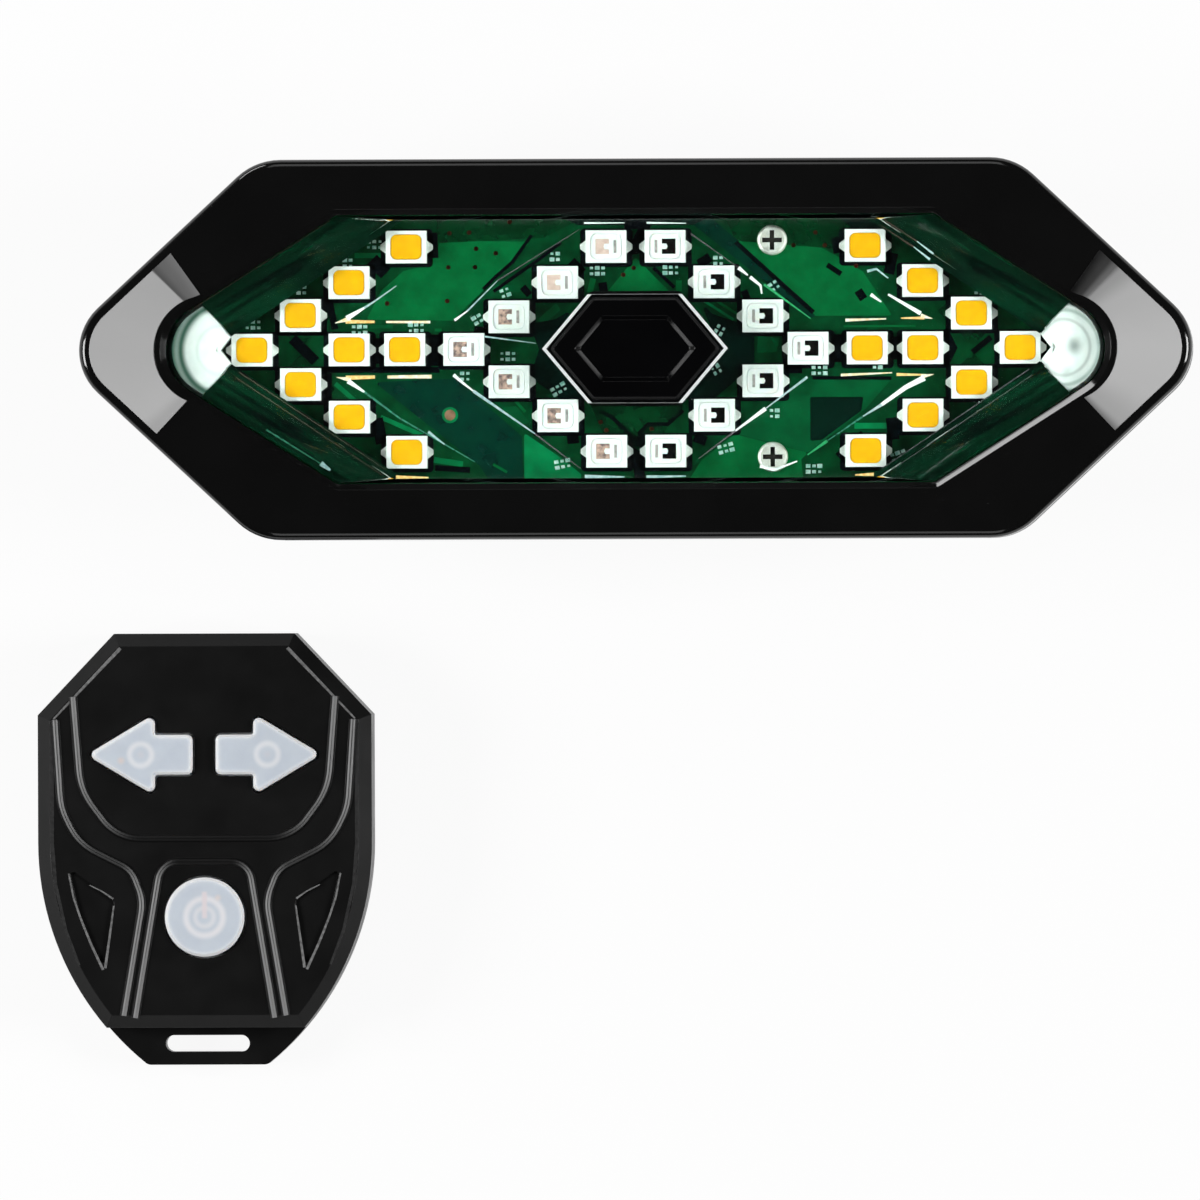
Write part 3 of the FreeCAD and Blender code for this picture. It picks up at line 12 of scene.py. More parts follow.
import logging
import math
from dataclasses import dataclass, field
from enum import Enum

import bpy
import numpy as np
from mathutils import Matrix, Vector


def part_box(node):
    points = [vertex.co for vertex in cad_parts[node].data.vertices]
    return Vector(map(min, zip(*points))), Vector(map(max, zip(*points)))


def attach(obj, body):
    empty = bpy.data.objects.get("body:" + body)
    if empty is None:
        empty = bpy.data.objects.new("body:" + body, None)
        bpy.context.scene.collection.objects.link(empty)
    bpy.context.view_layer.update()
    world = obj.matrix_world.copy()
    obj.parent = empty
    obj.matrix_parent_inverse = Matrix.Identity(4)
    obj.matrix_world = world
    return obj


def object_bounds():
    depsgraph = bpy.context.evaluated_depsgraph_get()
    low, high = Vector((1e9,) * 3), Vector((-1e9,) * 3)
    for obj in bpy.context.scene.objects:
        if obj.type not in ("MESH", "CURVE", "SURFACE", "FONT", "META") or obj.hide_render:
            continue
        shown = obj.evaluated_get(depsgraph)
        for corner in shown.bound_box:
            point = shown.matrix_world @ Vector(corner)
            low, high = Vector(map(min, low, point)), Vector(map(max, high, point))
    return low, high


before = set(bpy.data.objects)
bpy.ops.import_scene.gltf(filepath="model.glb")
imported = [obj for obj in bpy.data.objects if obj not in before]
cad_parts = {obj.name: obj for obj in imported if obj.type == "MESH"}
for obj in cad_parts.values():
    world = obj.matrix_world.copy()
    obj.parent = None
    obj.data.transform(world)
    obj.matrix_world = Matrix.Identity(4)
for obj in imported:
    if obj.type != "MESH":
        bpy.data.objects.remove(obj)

CAD_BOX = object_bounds()
MM = 0.001
# Sockets of the colour Mix node, whose names repeat
MIX_FACTOR, MIX_A, MIX_B, MIX_RESULT = 0, 6, 7, 2
# Noise lies mostly between these values, which patterns stretch to their full span
CLOUD_SPAN, DRIFT_SPAN, STREAK_SPAN = (0.35, 0.65), (0.3, 0.7), (0.36, 0.72)

log = logging.getLogger("tail_light")

Point = tuple[float, float]
Path = tuple[float, ...]            # x and y of each point in turn
Run = tuple[float, ...]             # a line's width, the share of it at its end, and its path
Runs = tuple[Run, ...]
Shades = tuple[tuple[float, str], ...]
Colour = tuple[float, float, float, float]
Tree = bpy.types.NodeTree
Socket = bpy.types.NodeSocket
Inputs = dict[str, object]          # constants or sockets by their socket's name


def srgb(code: str) -> Colour:
    """Turn an sRGB hex colour into linear light.

    Args:
        code: Colour as #RRGGBB.

    Returns:
        Linear red, green and blue, with an alpha of 1.
    """
    values = np.array([int(code[i:i + 2], 16) for i in (1, 3, 5)]) / 255.0
    linear = np.where(values <= 0.04045, values / 12.92, ((values + 0.055) / 1.055) ** 2.4)
    return (*linear.tolist(), 1.0)


def add_node(tree: Tree, kind: str, inputs: dict | tuple = (), out: int | str = 0,
             **settings: object) -> Socket | None:
    """Add one shader node with its settings and its links.

    Args:
        tree: Node tree of a material or of the world.
        kind: Name of the node type, without its ShaderNode.
        inputs: Constants, or outputs that feed it, by socket name or in the sockets' order.
        out: Name or number of the output that is wanted.
        settings: Attributes of the node.

    Returns:
        That output, or None where the node has none.
    """
    node = tree.nodes.new("ShaderNode" + kind)
    for key, value in settings.items():
        setattr(node, key, value)
    for key, value in inputs.items() if isinstance(inputs, dict) else enumerate(inputs):
        if isinstance(value, Socket):
            tree.links.new(value, node.inputs[key])
        else:
            node.inputs[key].default_value = value
    return node.outputs[out] if node.outputs else None


def per_metre(size_mm: float) -> float:
    """Texture scale at which one feature of the pattern has this size."""
    return 1.0 / (size_mm * MM)


# Patterns that several finishes share


def clouds(tree: Tree, size_mm: float, detail: float = 2.0) -> Socket:
    """Fractal noise of the object's coordinates, with clouds of this size."""
    place = add_node(tree, "TexCoord", out="Object")
    return add_node(tree, "TexNoise", {"Vector": place, "Scale": per_metre(size_mm),
                                       "Detail": detail})


def two_tone(tree: Tree, noise: Socket, span: Point, colour: str, shade: str) -> Socket:
    """Mix two colours by a noise, stretched from its span so that both show in full."""
    share = add_node(tree, "MapRange", (noise, *span))
    return add_node(tree, "Mix", {MIX_FACTOR: share, MIX_A: srgb(colour), MIX_B: srgb(shade)},
                    MIX_RESULT, data_type="RGBA")


def mottled(tree: Tree, colour: str, shade: str, size_mm: float) -> Socket:
    """Two colours in clouds of this size."""
    return two_tone(tree, clouds(tree, size_mm, 3.0), CLOUD_SPAN, colour, shade)


def varied(tree: Tree, low: float, high: float, size_mm: float) -> Socket:
    """Value that drifts between two limits over the surface, by clouds of this size."""
    return add_node(tree, "MapRange", (clouds(tree, size_mm), *DRIFT_SPAN, low, high))


def moulded_normal(tree: Tree, edge_mm: float, grain_mm: float, depth_mm: float) -> Socket:
    """Surface normal of a moulding: softened sharp edges, with the mould's grain on top.

    Args:
        tree: Material's node tree.
        edge_mm: Radius that the mould's polishing leaves on sharp edges.
        grain_mm: Size of one grain.
        depth_mm: Depth of the grain.

    Returns:
        Normal output.
    """
    soft = add_node(tree, "Bevel", {"Radius": edge_mm * MM}, samples=6)
    return add_node(tree, "Bump", {"Height": clouds(tree, grain_mm), "Distance": depth_mm * MM,
                                   "Strength": 1.0, "Normal": soft})


def away_from(tree: Tree, centre: Point) -> Socket:
    """Coordinates of the object, counted from a point of its front in mm."""
    place = add_node(tree, "TexCoord", out="Object")
    return add_node(tree, "VectorMath", (place, (centre[0] * MM, centre[1] * MM, 0.0)),
                    operation="SUBTRACT")


def ring_mask(tree: Tree, centre: Point, radius: float, width: float) -> Socket:
    """Soft ring about an upright axis: 1 where the distance from the axis is the radius.

    Args:
        tree: Material's node tree.
        centre: Point on the axis in mm.
        radius: Radius of the ring's middle in mm, 0 for a spot.
        width: Distance in mm over which the ring fades out each way.

    Returns:
        Value output from 0 to 1.
    """
    place = add_node(tree, "TexCoord", out="Object")
    flat = add_node(tree, "VectorMath", (place, (1.0, 1.0, 0.0)), operation="MULTIPLY")
    away = add_node(tree, "VectorMath", (flat, (centre[0] * MM, centre[1] * MM, 0.0)), "Value",
                    operation="DISTANCE")
    beside = add_node(tree, "Math", (away, radius * MM), operation="SUBTRACT")
    size = add_node(tree, "Math", (beside,), operation="ABSOLUTE")
    return add_node(tree, "MapRange", (size, 0.0, width * MM, 1.0, 0.0),
                    interpolation_type="SMOOTHSTEP")


def bar_mask(tree: Tree, centre: Point, half: Point, fade: float) -> Socket:
    """Soft upright bar: the product of a fade along X and one along Y, each beyond its half size.

    Args:
        tree: Material's node tree.
        centre: Middle of the bar in mm.
        half: Half width and half height in mm.
        fade: Distance in mm over which the bar fades out.

    Returns:
        Value output from 0 to 1.
    """
    size = add_node(tree, "VectorMath", (away_from(tree, centre),), operation="ABSOLUTE")
    axes = add_node(tree, "SeparateXYZ", (size,)).node.outputs
    fades = (add_node(tree, "MapRange", (axis, reach * MM, (reach + fade) * MM, 1.0, 0.0))
             for axis, reach in zip(axes, half))
    return add_node(tree, "Math", tuple(fades), operation="MULTIPLY")


def steep_mask(tree: Tree, steep: float, flat: float) -> Socket:
    """Mask of steep faces: a fade over the size of the true normal's upright part."""
    normal = add_node(tree, "NewGeometry", out="True Normal")
    height = add_node(tree, "SeparateXYZ", (normal,), "Z")
    upright = add_node(tree, "Math", (height,), operation="ABSOLUTE")
    return add_node(tree, "MapRange", (upright, steep, flat, 1.0, 0.0))


def edge_mask(tree: Tree, radius: float, leaning: float = 0.84, level: float = 0.985) -> Socket:
    """Mask of a band beside sharp edges, where a normal softened over this radius leans."""
    soft = add_node(tree, "Bevel", {"Radius": radius * MM}, samples=8)
    height = add_node(tree, "SeparateXYZ", (soft,), "Z")
    return add_node(tree, "MapRange", (height, leaning, level, 1.0, 0.0))


def sunk_mask(tree: Tree, level: float, fade: float = 0.05) -> Socket:
    """Mask of what lies below a height, with a short fade above it."""
    place = add_node(tree, "TexCoord", out="Object")
    height = add_node(tree, "SeparateXYZ", (place,), "Z")
    return add_node(tree, "MapRange", (height, level * MM, (level + fade) * MM, 1.0, 0.0))


def painted(tree: Tree, below: Socket, mask: Socket, colour: str, strength: float) -> Socket:
    """Put a colour over another one, through a mask times a strength."""
    amount = add_node(tree, "Math", (mask, strength), operation="MULTIPLY")
    return add_node(tree, "Mix", {MIX_FACTOR: amount, MIX_A: below, MIX_B: srgb(colour)},
                    MIX_RESULT, data_type="RGBA")


# Finishes


class Mould(Enum):
    """Surface of the mould that a plastic piece comes from: grain size and depth in mm."""

    MIRROR = (1.5, 0.0006)
    SATIN = (0.25, 0.006)
    FINE = (0.12, 0.004)
    SPARK = (0.20, 0.030)


@dataclass(frozen=True)
class Finish:
    """What every finish has: the name of its material and how it fills the node tree."""

    name: str

    def surface(self, tree: Tree) -> Socket:
        """Shader of the finish."""
        raise NotImplementedError

    def material(self) -> bpy.types.Material:
        """Make the material once, and return the same one after that."""
        made = bpy.data.materials.get(self.name)
        if made is None:
            made = bpy.data.materials.new(self.name)
            made.use_nodes = True
            made.node_tree.nodes.clear()
            shader = self.surface(made.node_tree)
            add_node(made.node_tree, "OutputMaterial", {"Surface": shader})
        return made


@dataclass(frozen=True)
class Skin(Finish):
    """A finish with a coloured surface, a gloss that drifts over it, and maybe a grain.

    The values below hold for all pieces in a finish, unless it takes them as fields of its own.
    """

    drift = 0.15        # share by which the roughness drifts each way
    patch_mm = 1.0      # size of the patches that it drifts in
    ior = 1.5
    edge_mm = 0.12      # radius that sharp edges are softened to
    grain = None        # size and depth of a grain in mm

    @property
    def rough_span(self) -> Point:
        """Least and greatest roughness: about the field roughness, where a finish has one."""
        return (1 - self.drift) * self.roughness, (1 + self.drift) * self.roughness

    def tint(self, tree: Tree) -> Socket:
        """Colour over the surface."""
        raise NotImplementedError

    def inputs(self, tree: Tree) -> Inputs:
        """What feeds the shader: colour, gloss and, where there is a grain, the normal."""
        low, high = self.rough_span
        fed = {"Base Color": self.tint(tree), "IOR": self.ior,
               "Roughness": varied(tree, low, high, self.patch_mm) if low < high else low}
        if self.grain:
            fed["Normal"] = moulded_normal(tree, self.edge_mm, *self.grain)
        return fed

    def surface(self, tree: Tree) -> Socket:
        """Principled shader with these inputs."""
        return add_node(tree, "BsdfPrincipled", self.inputs(tree))


@dataclass(frozen=True)
class Clouded(Skin):
    """A skin in two close colours."""

    colour: str
    shade: str
    cloud_mm = 6.0

    def tint(self, tree: Tree) -> Socket:
        """The two colours in clouds."""
        return mottled(tree, self.colour, self.shade, self.cloud_mm)


@dataclass(frozen=True)
class MouldedPlastic(Clouded):
    """ABS or polycarbonate, injection moulded: even colour, and the gloss of its mould."""

    roughness: float
    mould: Mould = Mould.SATIN
    edge_mm: float = 0.12
    gloss: float = 0.5              # specular level: lower where a fine texture eats the gloss
    patch_mm = 4.0
    ior = 1.54

    @property
    def grain(self) -> Point:
        """Grain that the mould leaves."""
        return self.mould.value

    def inputs(self, tree: Tree) -> Inputs:
        """Add the specular level."""
        return super().inputs(tree) | {"Specular IOR Level": self.gloss}


@dataclass(frozen=True)
class CrestHighlightPlastic(MouldedPlastic):
    """Moulded plastic with a painted highlight on the crests of its raised lines.

    The painted highlight follows the sides of the piece: it is a crest's height over the face,
    times the sideways share of the slope there, so lines across the piece stay dark.
    """

    # Painted highlight: the grey laid on the crests where the lamps at the sides would light them
    crest_highlight: str = "#8C8C8C"
    crest_highlight_strength: float = 0.8                # strength of the painted highlight
    crest: float = 0.0              # height from which a crest gets the painted highlight

    def tint(self, tree: Tree) -> Socket:
        """Clouds of colour with the painted highlight on the crests."""
        normal = add_node(tree, "NewGeometry", out="True Normal")
        level = add_node(tree, "VectorMath", (normal, (1.0, 1.0, 0.0)), operation="MULTIPLY")
        way = add_node(tree, "VectorMath", (level,), operation="NORMALIZE")
        x = add_node(tree, "SeparateXYZ", (way,), "X")
        sideways = add_node(tree, "Math", (x, x), operation="MULTIPLY")
        high = add_node(tree, "Math", (1.0, sunk_mask(tree, self.crest)), operation="SUBTRACT")
        mask = add_node(tree, "Math", (high, sideways), operation="MULTIPLY")
        return painted(tree, super().tint(tree), mask, self.crest_highlight, self.crest_highlight_strength)


@dataclass(frozen=True)
class MouldedRubber(Clouded):
    """Silicone or rubber, compression moulded: dull, with a dusty bloom on its edges."""

    grain: Point = (0.3, 0.02)
    cloud_mm = 3.0
    rough_span = (0.62, 0.8)
    patch_mm = 2.0
    edge_mm = 0.2

    def inputs(self, tree: Tree) -> Inputs:
        """Add a faint sheen, as the bloom scatters light at the edges."""
        return super().inputs(tree) | {"Sheen Weight": 0.12, "Sheen Roughness": 0.4}


@dataclass(frozen=True)
class PlatedMetal(Clouded):
    """Nickel, tin or zinc plate on steel or copper: bright, with fine turning marks."""

    roughness: float
    grain: Point = (0.12, 0.004)
    drift: float = 0.3              # wider than in plastic, where the plate is thin
    edge_mm: float = 0.08
    cloud_mm = 0.8
    patch_mm = 0.6

    def inputs(self, tree: Tree) -> Inputs:
        """Make it full metal."""
        return super().inputs(tree) | {"Metallic": 1.0}


@dataclass(frozen=True)
class SlottedHeads(PlatedMetal):
    """Plated screw heads with dirt and painted shade in their cross slots.

    The dirt and painted shade lie below a height, and only near the axis of each screw.
    """

    axes: tuple[Point, ...] = ()
    slot_reach: float = 1.1
    slot_share: float = 0.25        # of the fade over the reach, up to which the dirt and painted shade go
    slot_level: float = 0.0
    # Dirt and painted shade in the slots
    slot_dirt_and_shade: str = "#1A1210"
    cover: float = 0.95

    def tint(self, tree: Tree) -> Socket:
        """Stained colour, darkened in the slots by dirt and painted shade."""
        colour = super().tint(tree)
        below = sunk_mask(tree, self.slot_level)
        for axis in self.axes:
            near = ring_mask(tree, axis, 0.0, self.slot_reach)
            inside = add_node(tree, "Math", (near, self.slot_share), operation="GREATER_THAN")
            mask = add_node(tree, "Math", (inside, below), operation="MULTIPLY")
            colour = painted(tree, colour, mask, self.slot_dirt_and_shade, self.cover)
        return colour


@dataclass(frozen=True)
class CastResin(Clouded):
    """Silicone resin cast into a light's window: soft inside, with a smooth skin.

    The amber one is full of phosphor, which shows as a warm, almost even yellow.
    """

    scatter_mm: float = 0.4
    cloud_mm = 0.7
    rough_span = (0.28, 0.4)
    patch_mm = 0.5
    ior = 1.41
    edge_mm = 0.03
    grain = (0.5, 0.006)

    def inputs(self, tree: Tree) -> Inputs:
        """Let light scatter a little way inside."""
        return super().inputs(tree) | {"Subsurface Weight": 0.25,
                                       "Subsurface Scale": self.scatter_mm * MM}


@dataclass(frozen=True)
class SolderMask(Clouded):
    """Green solder mask, printed and cured over copper or bare laminate.

    Over copper it is bright and slightly golden, and over bare laminate dark. The weave of the
    glass cloth under it shows as a faint grid.
    """

    cloud_mm: float = 2.5
    weave_mm: float = 0.45
    weave_depth_mm: float = 0.002
    rough_span = (0.14, 0.2)
    patch_mm = 1.5
    ior = 1.52

    def inputs(self, tree: Tree) -> Inputs:
        """Add the weave as a low bump."""
        place = add_node(tree, "TexCoord", out="Object")
        waves = (add_node(tree, "TexWave", {
            "Vector": place, "Scale": per_metre(self.weave_mm) / math.tau, "Distortion": 0.3},
            "Fac", bands_direction=way) for way in "XY")
        weave = add_node(tree, "Math", tuple(waves), operation="MULTIPLY")
        bump = add_node(tree, "Bump", {"Height": weave, "Distance": self.weave_depth_mm * MM,
                                       "Strength": 1.0})
        return super().inputs(tree) | {"Normal": bump}


@dataclass(frozen=True)
class InkAndPaintedLight(Clouded):
    """Matt colour, slightly uneven, as the mesh leaves more in spots: screen printed epoxy ink.

    The same finish carries painted light and shade on the lens's ribs, the lead frames, the
    button hole's edge and the remote's edges.
    """

    cover: float = 1.0
    roughness: float = 0.6
    cloud_mm = 0.35
    patch_mm = 0.4

    def inputs(self, tree: Tree) -> Inputs:
        """Let some of the ground through."""
        return super().inputs(tree) | {"Alpha": self.cover}


@dataclass(frozen=True)
class StreakedShade(Skin):
    """Painted shade under the lens's border, dark green with fine streaks along the border.

    The streaks are noise over the distance from the border's line, the same in all quarters.
    """

    colour: str
    streak: str
    centre: Point
    slope_deg: float
    streak_mm: float = 0.8
    length_mm: float = 9.0
    rough_span = (0.12, 0.2)

    def tint(self, tree: Tree) -> Socket:
        """Noise squeezed across the border and drawn out along it, between two greens."""
        away = away_from(tree, self.centre)
        quarter = add_node(tree, "VectorMath", (away,), operation="ABSOLUTE")
        slope = math.radians(self.slope_deg)
        across = per_metre(self.streak_mm) * Vector((math.sin(slope), math.cos(slope), 0.0))
        along = per_metre(self.length_mm) * Vector((math.cos(slope), -math.sin(slope), 0.0))
        axes = (add_node(tree, "VectorMath", (quarter, way), "Value", operation="DOT_PRODUCT")
                for way in (across, along))
        drawn = add_node(tree, "CombineXYZ", tuple(axes))
        noise = add_node(tree, "TexNoise", {"Vector": drawn, "Scale": 1.0, "Detail": 2.0})
        return two_tone(tree, noise, STREAK_SPAN, self.colour, self.streak)


@dataclass(frozen=True)
class ClearPolycarbonate(Finish):
    """Clear polycarbonate from a polished mould: the lens.

    Lamps shine through it as through thin glass, so what lies under it stays lit. Its steep edges
    stand in the frame's shade, which is painted into them as a darker tint.
    """

    tint: str
    # Painted shade on the steep edges
    steep_edge_shade: str = "#0C1210"
    steep_span: Point = (0.4, 0.6)  # upright part of the normal, from edge to plain
    roughness: float = 0.015        # greatest roughness
    patch_mm: float = 5.0
    ior: float = 1.585

    def surface(self, tree: Tree) -> Socket:
        """Refracting dielectric that a shadow ray passes as if it were clear."""
        plain = add_node(tree, "Mix", {MIX_FACTOR: steep_mask(tree, *self.steep_span),
                                       MIX_A: srgb(self.tint), MIX_B: srgb(self.steep_edge_shade)},
                         MIX_RESULT, data_type="RGBA")
        clear = add_node(tree, "BsdfPrincipled", {
            "Base Color": plain, "Roughness": varied(tree, 0.0, self.roughness, self.patch_mm),
            "IOR": self.ior, "Transmission Weight": 1.0})
        open_way = add_node(tree, "BsdfTransparent", {"Color": srgb(self.tint)})
        shadow = add_node(tree, "LightPath", out="Is Shadow Ray")
        return add_node(tree, "MixShader", (shadow, clear, open_way))


@dataclass(frozen=True)
class Ring:
    """A ring or spot that shows inside a clear or milky piece: its place and strength."""

    centre: Point
    radius: float
    width: float
    colour: str
    strength: float


@dataclass(frozen=True)
class MilkyPlastic(Clouded):
    """Opal acrylic or translucent silicone: milky, and what lies under it shows as rings.

    Where it has a rim radius, a painted highlight lies along its edges.
    """

    rings: tuple[Ring, ...] = ()
    bar: tuple[Point, Point] | None = None      # middle and half sizes
    bar_fade: float = 0.2
    bar_colour: str = "#E6DEE1"
    bar_strength: float = 0.9
    rim_highlight: str = "#FDFEFF"
    rim_highlight_radius: float = 0.0                     # 0 for no painted highlight on the rim
    rim_highlight_strength: float = 0.95
    cloud_mm: float = 1.5
    scatter_mm: float = 0.6
    rough_span = (0.35, 0.35)
    ior = 1.43
    grain = (0.3, 0.008)

    def tint(self, tree: Tree) -> Socket:
        """Clouds of colour, with the rings, the bar and the painted rim highlight over them."""
        colour = super().tint(tree)
        for ring in self.rings:
            mask = ring_mask(tree, ring.centre, ring.radius, ring.width)
            colour = painted(tree, colour, mask, ring.colour, ring.strength)
        if self.bar:
            mask = bar_mask(tree, *self.bar, self.bar_fade)
            colour = painted(tree, colour, mask, self.bar_colour, self.bar_strength)
        # Painted highlight along the edges
        if self.rim_highlight_radius:
            mask = edge_mask(tree, self.rim_highlight_radius)
            colour = painted(tree, colour, mask, self.rim_highlight, self.rim_highlight_strength)
        return colour

    def inputs(self, tree: Tree) -> Inputs:
        """Let light scatter inside, red the furthest."""
        return super().inputs(tree) | {"Subsurface Weight": 0.3,
                                       "Subsurface Scale": self.scatter_mm * MM,
                                       "Subsurface Radius": (1.0, 0.9, 0.8)}


@dataclass(frozen=True)
class SatinPanel(Skin):
    """Grey polycarbonate insert with a satin face, whose grey carries a painted reflection that
    shades off towards its cut ends.

    The painted reflection follows the angle about the point where the panel's cut ends meet. Each
    stop is an angle in degrees from the panel's own axis, and a grey.
    """

    apex: Point
    side: int
    reflection_stops: Shades
    rough_span = (0.3, 0.4)
    patch_mm = 2.0
    ior = 1.585
    edge_mm = 0.06
    grain = (0.3, 0.003)

    def tint(self, tree: Tree) -> Socket:
        """Painted reflection, as a colour ramp over the angle: arc tangent of height over distance
        out.
        """
        away = away_from(tree, self.apex)
        axes = add_node(tree, "VectorMath", (away, (float(self.side), 1.0, 1.0)),
                        operation="MULTIPLY")
        out, up, _ = add_node(tree, "SeparateXYZ", (axes,)).node.outputs
        angle = add_node(tree, "Math", (up, out), operation="ARCTAN2")
        first, last = self.reflection_stops[0][0], self.reflection_stops[-1][0]
        share = add_node(tree, "MapRange", (angle, math.radians(first), math.radians(last)))
        colour = add_node(tree, "ValToRGB", (share,))
        ramp = colour.node.color_ramp
        ramp.interpolation = "EASE"
        while len(ramp.elements) < len(self.reflection_stops):
            ramp.elements.new(0.5)
        for element, (degrees, grey) in zip(ramp.elements, self.reflection_stops):
            element.position = (degrees - first) / (last - first)
            element.color = srgb(grey)
        return colour


# Surfaces on a grid


@dataclass
class Sheet:
    """A surface on a grid of points in mm, of shape copies x rows x columns x 3.

    The columns always go round. The rows run along it, and go round as well in a ring.
    """

    points: np.ndarray
    ring: bool = False

    def faces(self, start: int) -> list[list[int]]:
        """Quads between neighbouring rows and columns, and a cap at each end of an open run.

        Args:
            start: Number of the sheet's first vertex in its mesh.

        Returns:
            Vertex numbers of each face.
        """
        copies, rows, columns, _ = self.points.shape
        number = start + np.arange(copies * rows * columns).reshape(copies, rows, columns)
        low = number if self.ring else number[:, :-1]
        high = np.roll(number, -1, axis=1) if self.ring else number[:, 1:]
        quads = np.stack([low, np.roll(low, -1, axis=2), np.roll(high, -1, axis=2), high], -1)
        faces = quads.reshape(-1, 4).tolist()
        if not self.ring:
            faces += number[:, 0, ::-1].tolist() + number[:, -1].tolist()
        return faces


def unit(ways: np.ndarray) -> np.ndarray:
    """Vectors divided by their lengths."""
    return ways / np.linalg.norm(ways, axis=-1, keepdims=True)


def outline(path: Path) -> np.ndarray:
    """One outline of the points of a path, of shape 1 x points x 2."""
    return np.reshape(path, (1, -1, 2))


def rounded(corners: np.ndarray, radius: float, steps: int) -> np.ndarray:
    """Round the corners of closed outlines.

    A corner's arc is centred on its bisector, at radius over the sine of half its angle, and its
    points turn evenly from the normal of one side to the normal of the next.

    Args:
        corners: Anticlockwise corners, of shape copies x corners x 2.
        radius: Radius of every corner in mm.
        steps: Points on each arc.

    Returns:
        Points, of shape copies x (corners * steps) x 2.
    """
    back = unit(np.roll(corners, 1, axis=1) - corners)
    ahead = unit(np.roll(corners, -1, axis=1) - corners)
    half = np.arccos(np.clip(np.sum(back * ahead, -1), -1, 1)) / 2
    middle = unit(back + ahead)
    turn = np.sign(ahead[..., 0] * back[..., 1] - ahead[..., 1] * back[..., 0])
    centre = corners + middle * (radius / np.sin(half))[..., None]
    out = np.arctan2(-middle[..., 1], -middle[..., 0])
    sweep = (np.pi / 2 - half) * turn
    angle = out[..., None] + sweep[..., None] * np.linspace(-1, 1, steps)
    arc = np.stack([np.cos(angle), np.sin(angle)], -1) * radius
    return (centre[..., None, :] + arc).reshape(len(corners), -1, 2)


def rectangles(centres: np.ndarray, length: float, width: float) -> np.ndarray:
    """Corners of equal upright rectangles about the centres, copies x 4 x 2."""
    shape = np.array([(1, -1), (1, 1), (-1, 1), (-1, -1)]) * (length / 2, width / 2)
    return centres[:, None] + shape


def discs(centres: Path, radius: float, columns: int = 16) -> np.ndarray:
    """Circles about the centres: radius times the cosine and sine of evenly spaced turns."""
    turn = np.linspace(0, math.tau, columns, endpoint=False)
    circle = radius * np.stack([np.cos(turn), np.sin(turn)], -1)
    return np.reshape(centres, (-1, 1, 2)) + circle


def ribbon(run: Run) -> np.ndarray:
    """Outline of a line: its path moved half the width to each side.

    The width shrinks in even steps to the share of it that is left at the last point.

    Args:
        run: Width, share left, then x and y of each point.

    Returns:
        One anticlockwise outline, of shape 1 x (2 * points) x 2.
    """
    width, share = run[:2]
    path = np.reshape(run[2:], (-1, 2))
    ahead = unit(np.diff(path, axis=0))
    normal = np.stack([ahead[:, 1], -ahead[:, 0]], -1)
    joined = np.concatenate([normal[:1], (normal[:-1] + normal[1:]) / 2, normal[-1:]])
    joined = joined / np.sum(joined * joined, -1, keepdims=True)
    side = joined * (np.linspace(1, share, len(path))[:, None] * width / 2)
    return np.concatenate([path + side, (path - side)[::-1]])[None]


def stacked(outlines: list[np.ndarray], heights: tuple[float, ...], ring: bool = False) -> Sheet:
    """Stack outlines of shape copies x columns x 2 at their heights, into one surface."""
    rows = np.stack(outlines, 1)
    level = np.broadcast_to(np.reshape(heights, (-1, 1, 1)), rows.shape[:3] + (1,))
    return Sheet(np.concatenate([rows, level], -1), ring)


def plate(outlines: np.ndarray, bottom: float, top: float) -> Sheet:
    """Flat pieces of these outlines between two heights."""
    return stacked([outlines, outlines], (bottom, top))


def frame_of(outer: np.ndarray, inner: np.ndarray, bottom: float, top: float) -> Sheet:
    """Ring between two outlines with as many points: outer wall, top, inner wall, underside."""
    return stacked([outer, outer, inner, inner], (bottom, top, top, bottom), ring=True)


def hexagon(tip: float, half_height: float, slope: float) -> np.ndarray:
    """Corners of a long hexagon whose pointed ends rise at this slope in radians, 1 x 6 x 2."""
    shoulder = tip - half_height / math.tan(slope)
    return outline((tip, 0, shoulder, half_height, -shoulder, half_height, -tip, 0,
                    -shoulder, -half_height, shoulder, -half_height))


def mirrored(points: np.ndarray, x: int = 1, y: int = 1) -> np.ndarray:
    """Mirror points in the lamp's long or short axis, and keep outlines anticlockwise."""
    turned = points * (x, y)
    return turned[..., ::-1, :] if x * y < 0 else turned


# Pieces


def add_object(name: str, data: bpy.types.ID) -> bpy.types.Object:
    """Put a mesh, a light or a camera into the scene."""
    made = bpy.data.objects.new(name, data)
    bpy.context.scene.collection.objects.link(made)
    return made


def add_piece(name: str, sheets: list[Sheet], finish: Finish, body: str,
              place: Point) -> None:
    """Make one mesh piece of closed sheets, dress it and let it ride on its body.

    Args:
        name: Name of the piece.
        sheets: Its surfaces, in mm about the sub-assembly's centre, at true heights.
        finish: Its finish.
        body: Body that it moves with.
        place: Centre of the sub-assembly in mm.
    """
    vertices: list[np.ndarray] = []
    faces: list[list[int]] = []
    count = 0
    for sheet in sheets:
        faces += sheet.faces(count)
        vertices.append(sheet.points.reshape(-1, 3))
        count += len(vertices[-1])
    moved = (np.concatenate(vertices) + (*place, 0.0)) * MM
    mesh = bpy.data.meshes.new(name)
    mesh.from_pydata(moved.tolist(), [], faces)
    mesh.validate()
    mesh.materials.append(finish.material())
    piece = add_object(name, mesh)
    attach(piece, body)
    log.info("%s: %d vertices, %d faces, on %s", name, count, len(mesh.polygons), body)


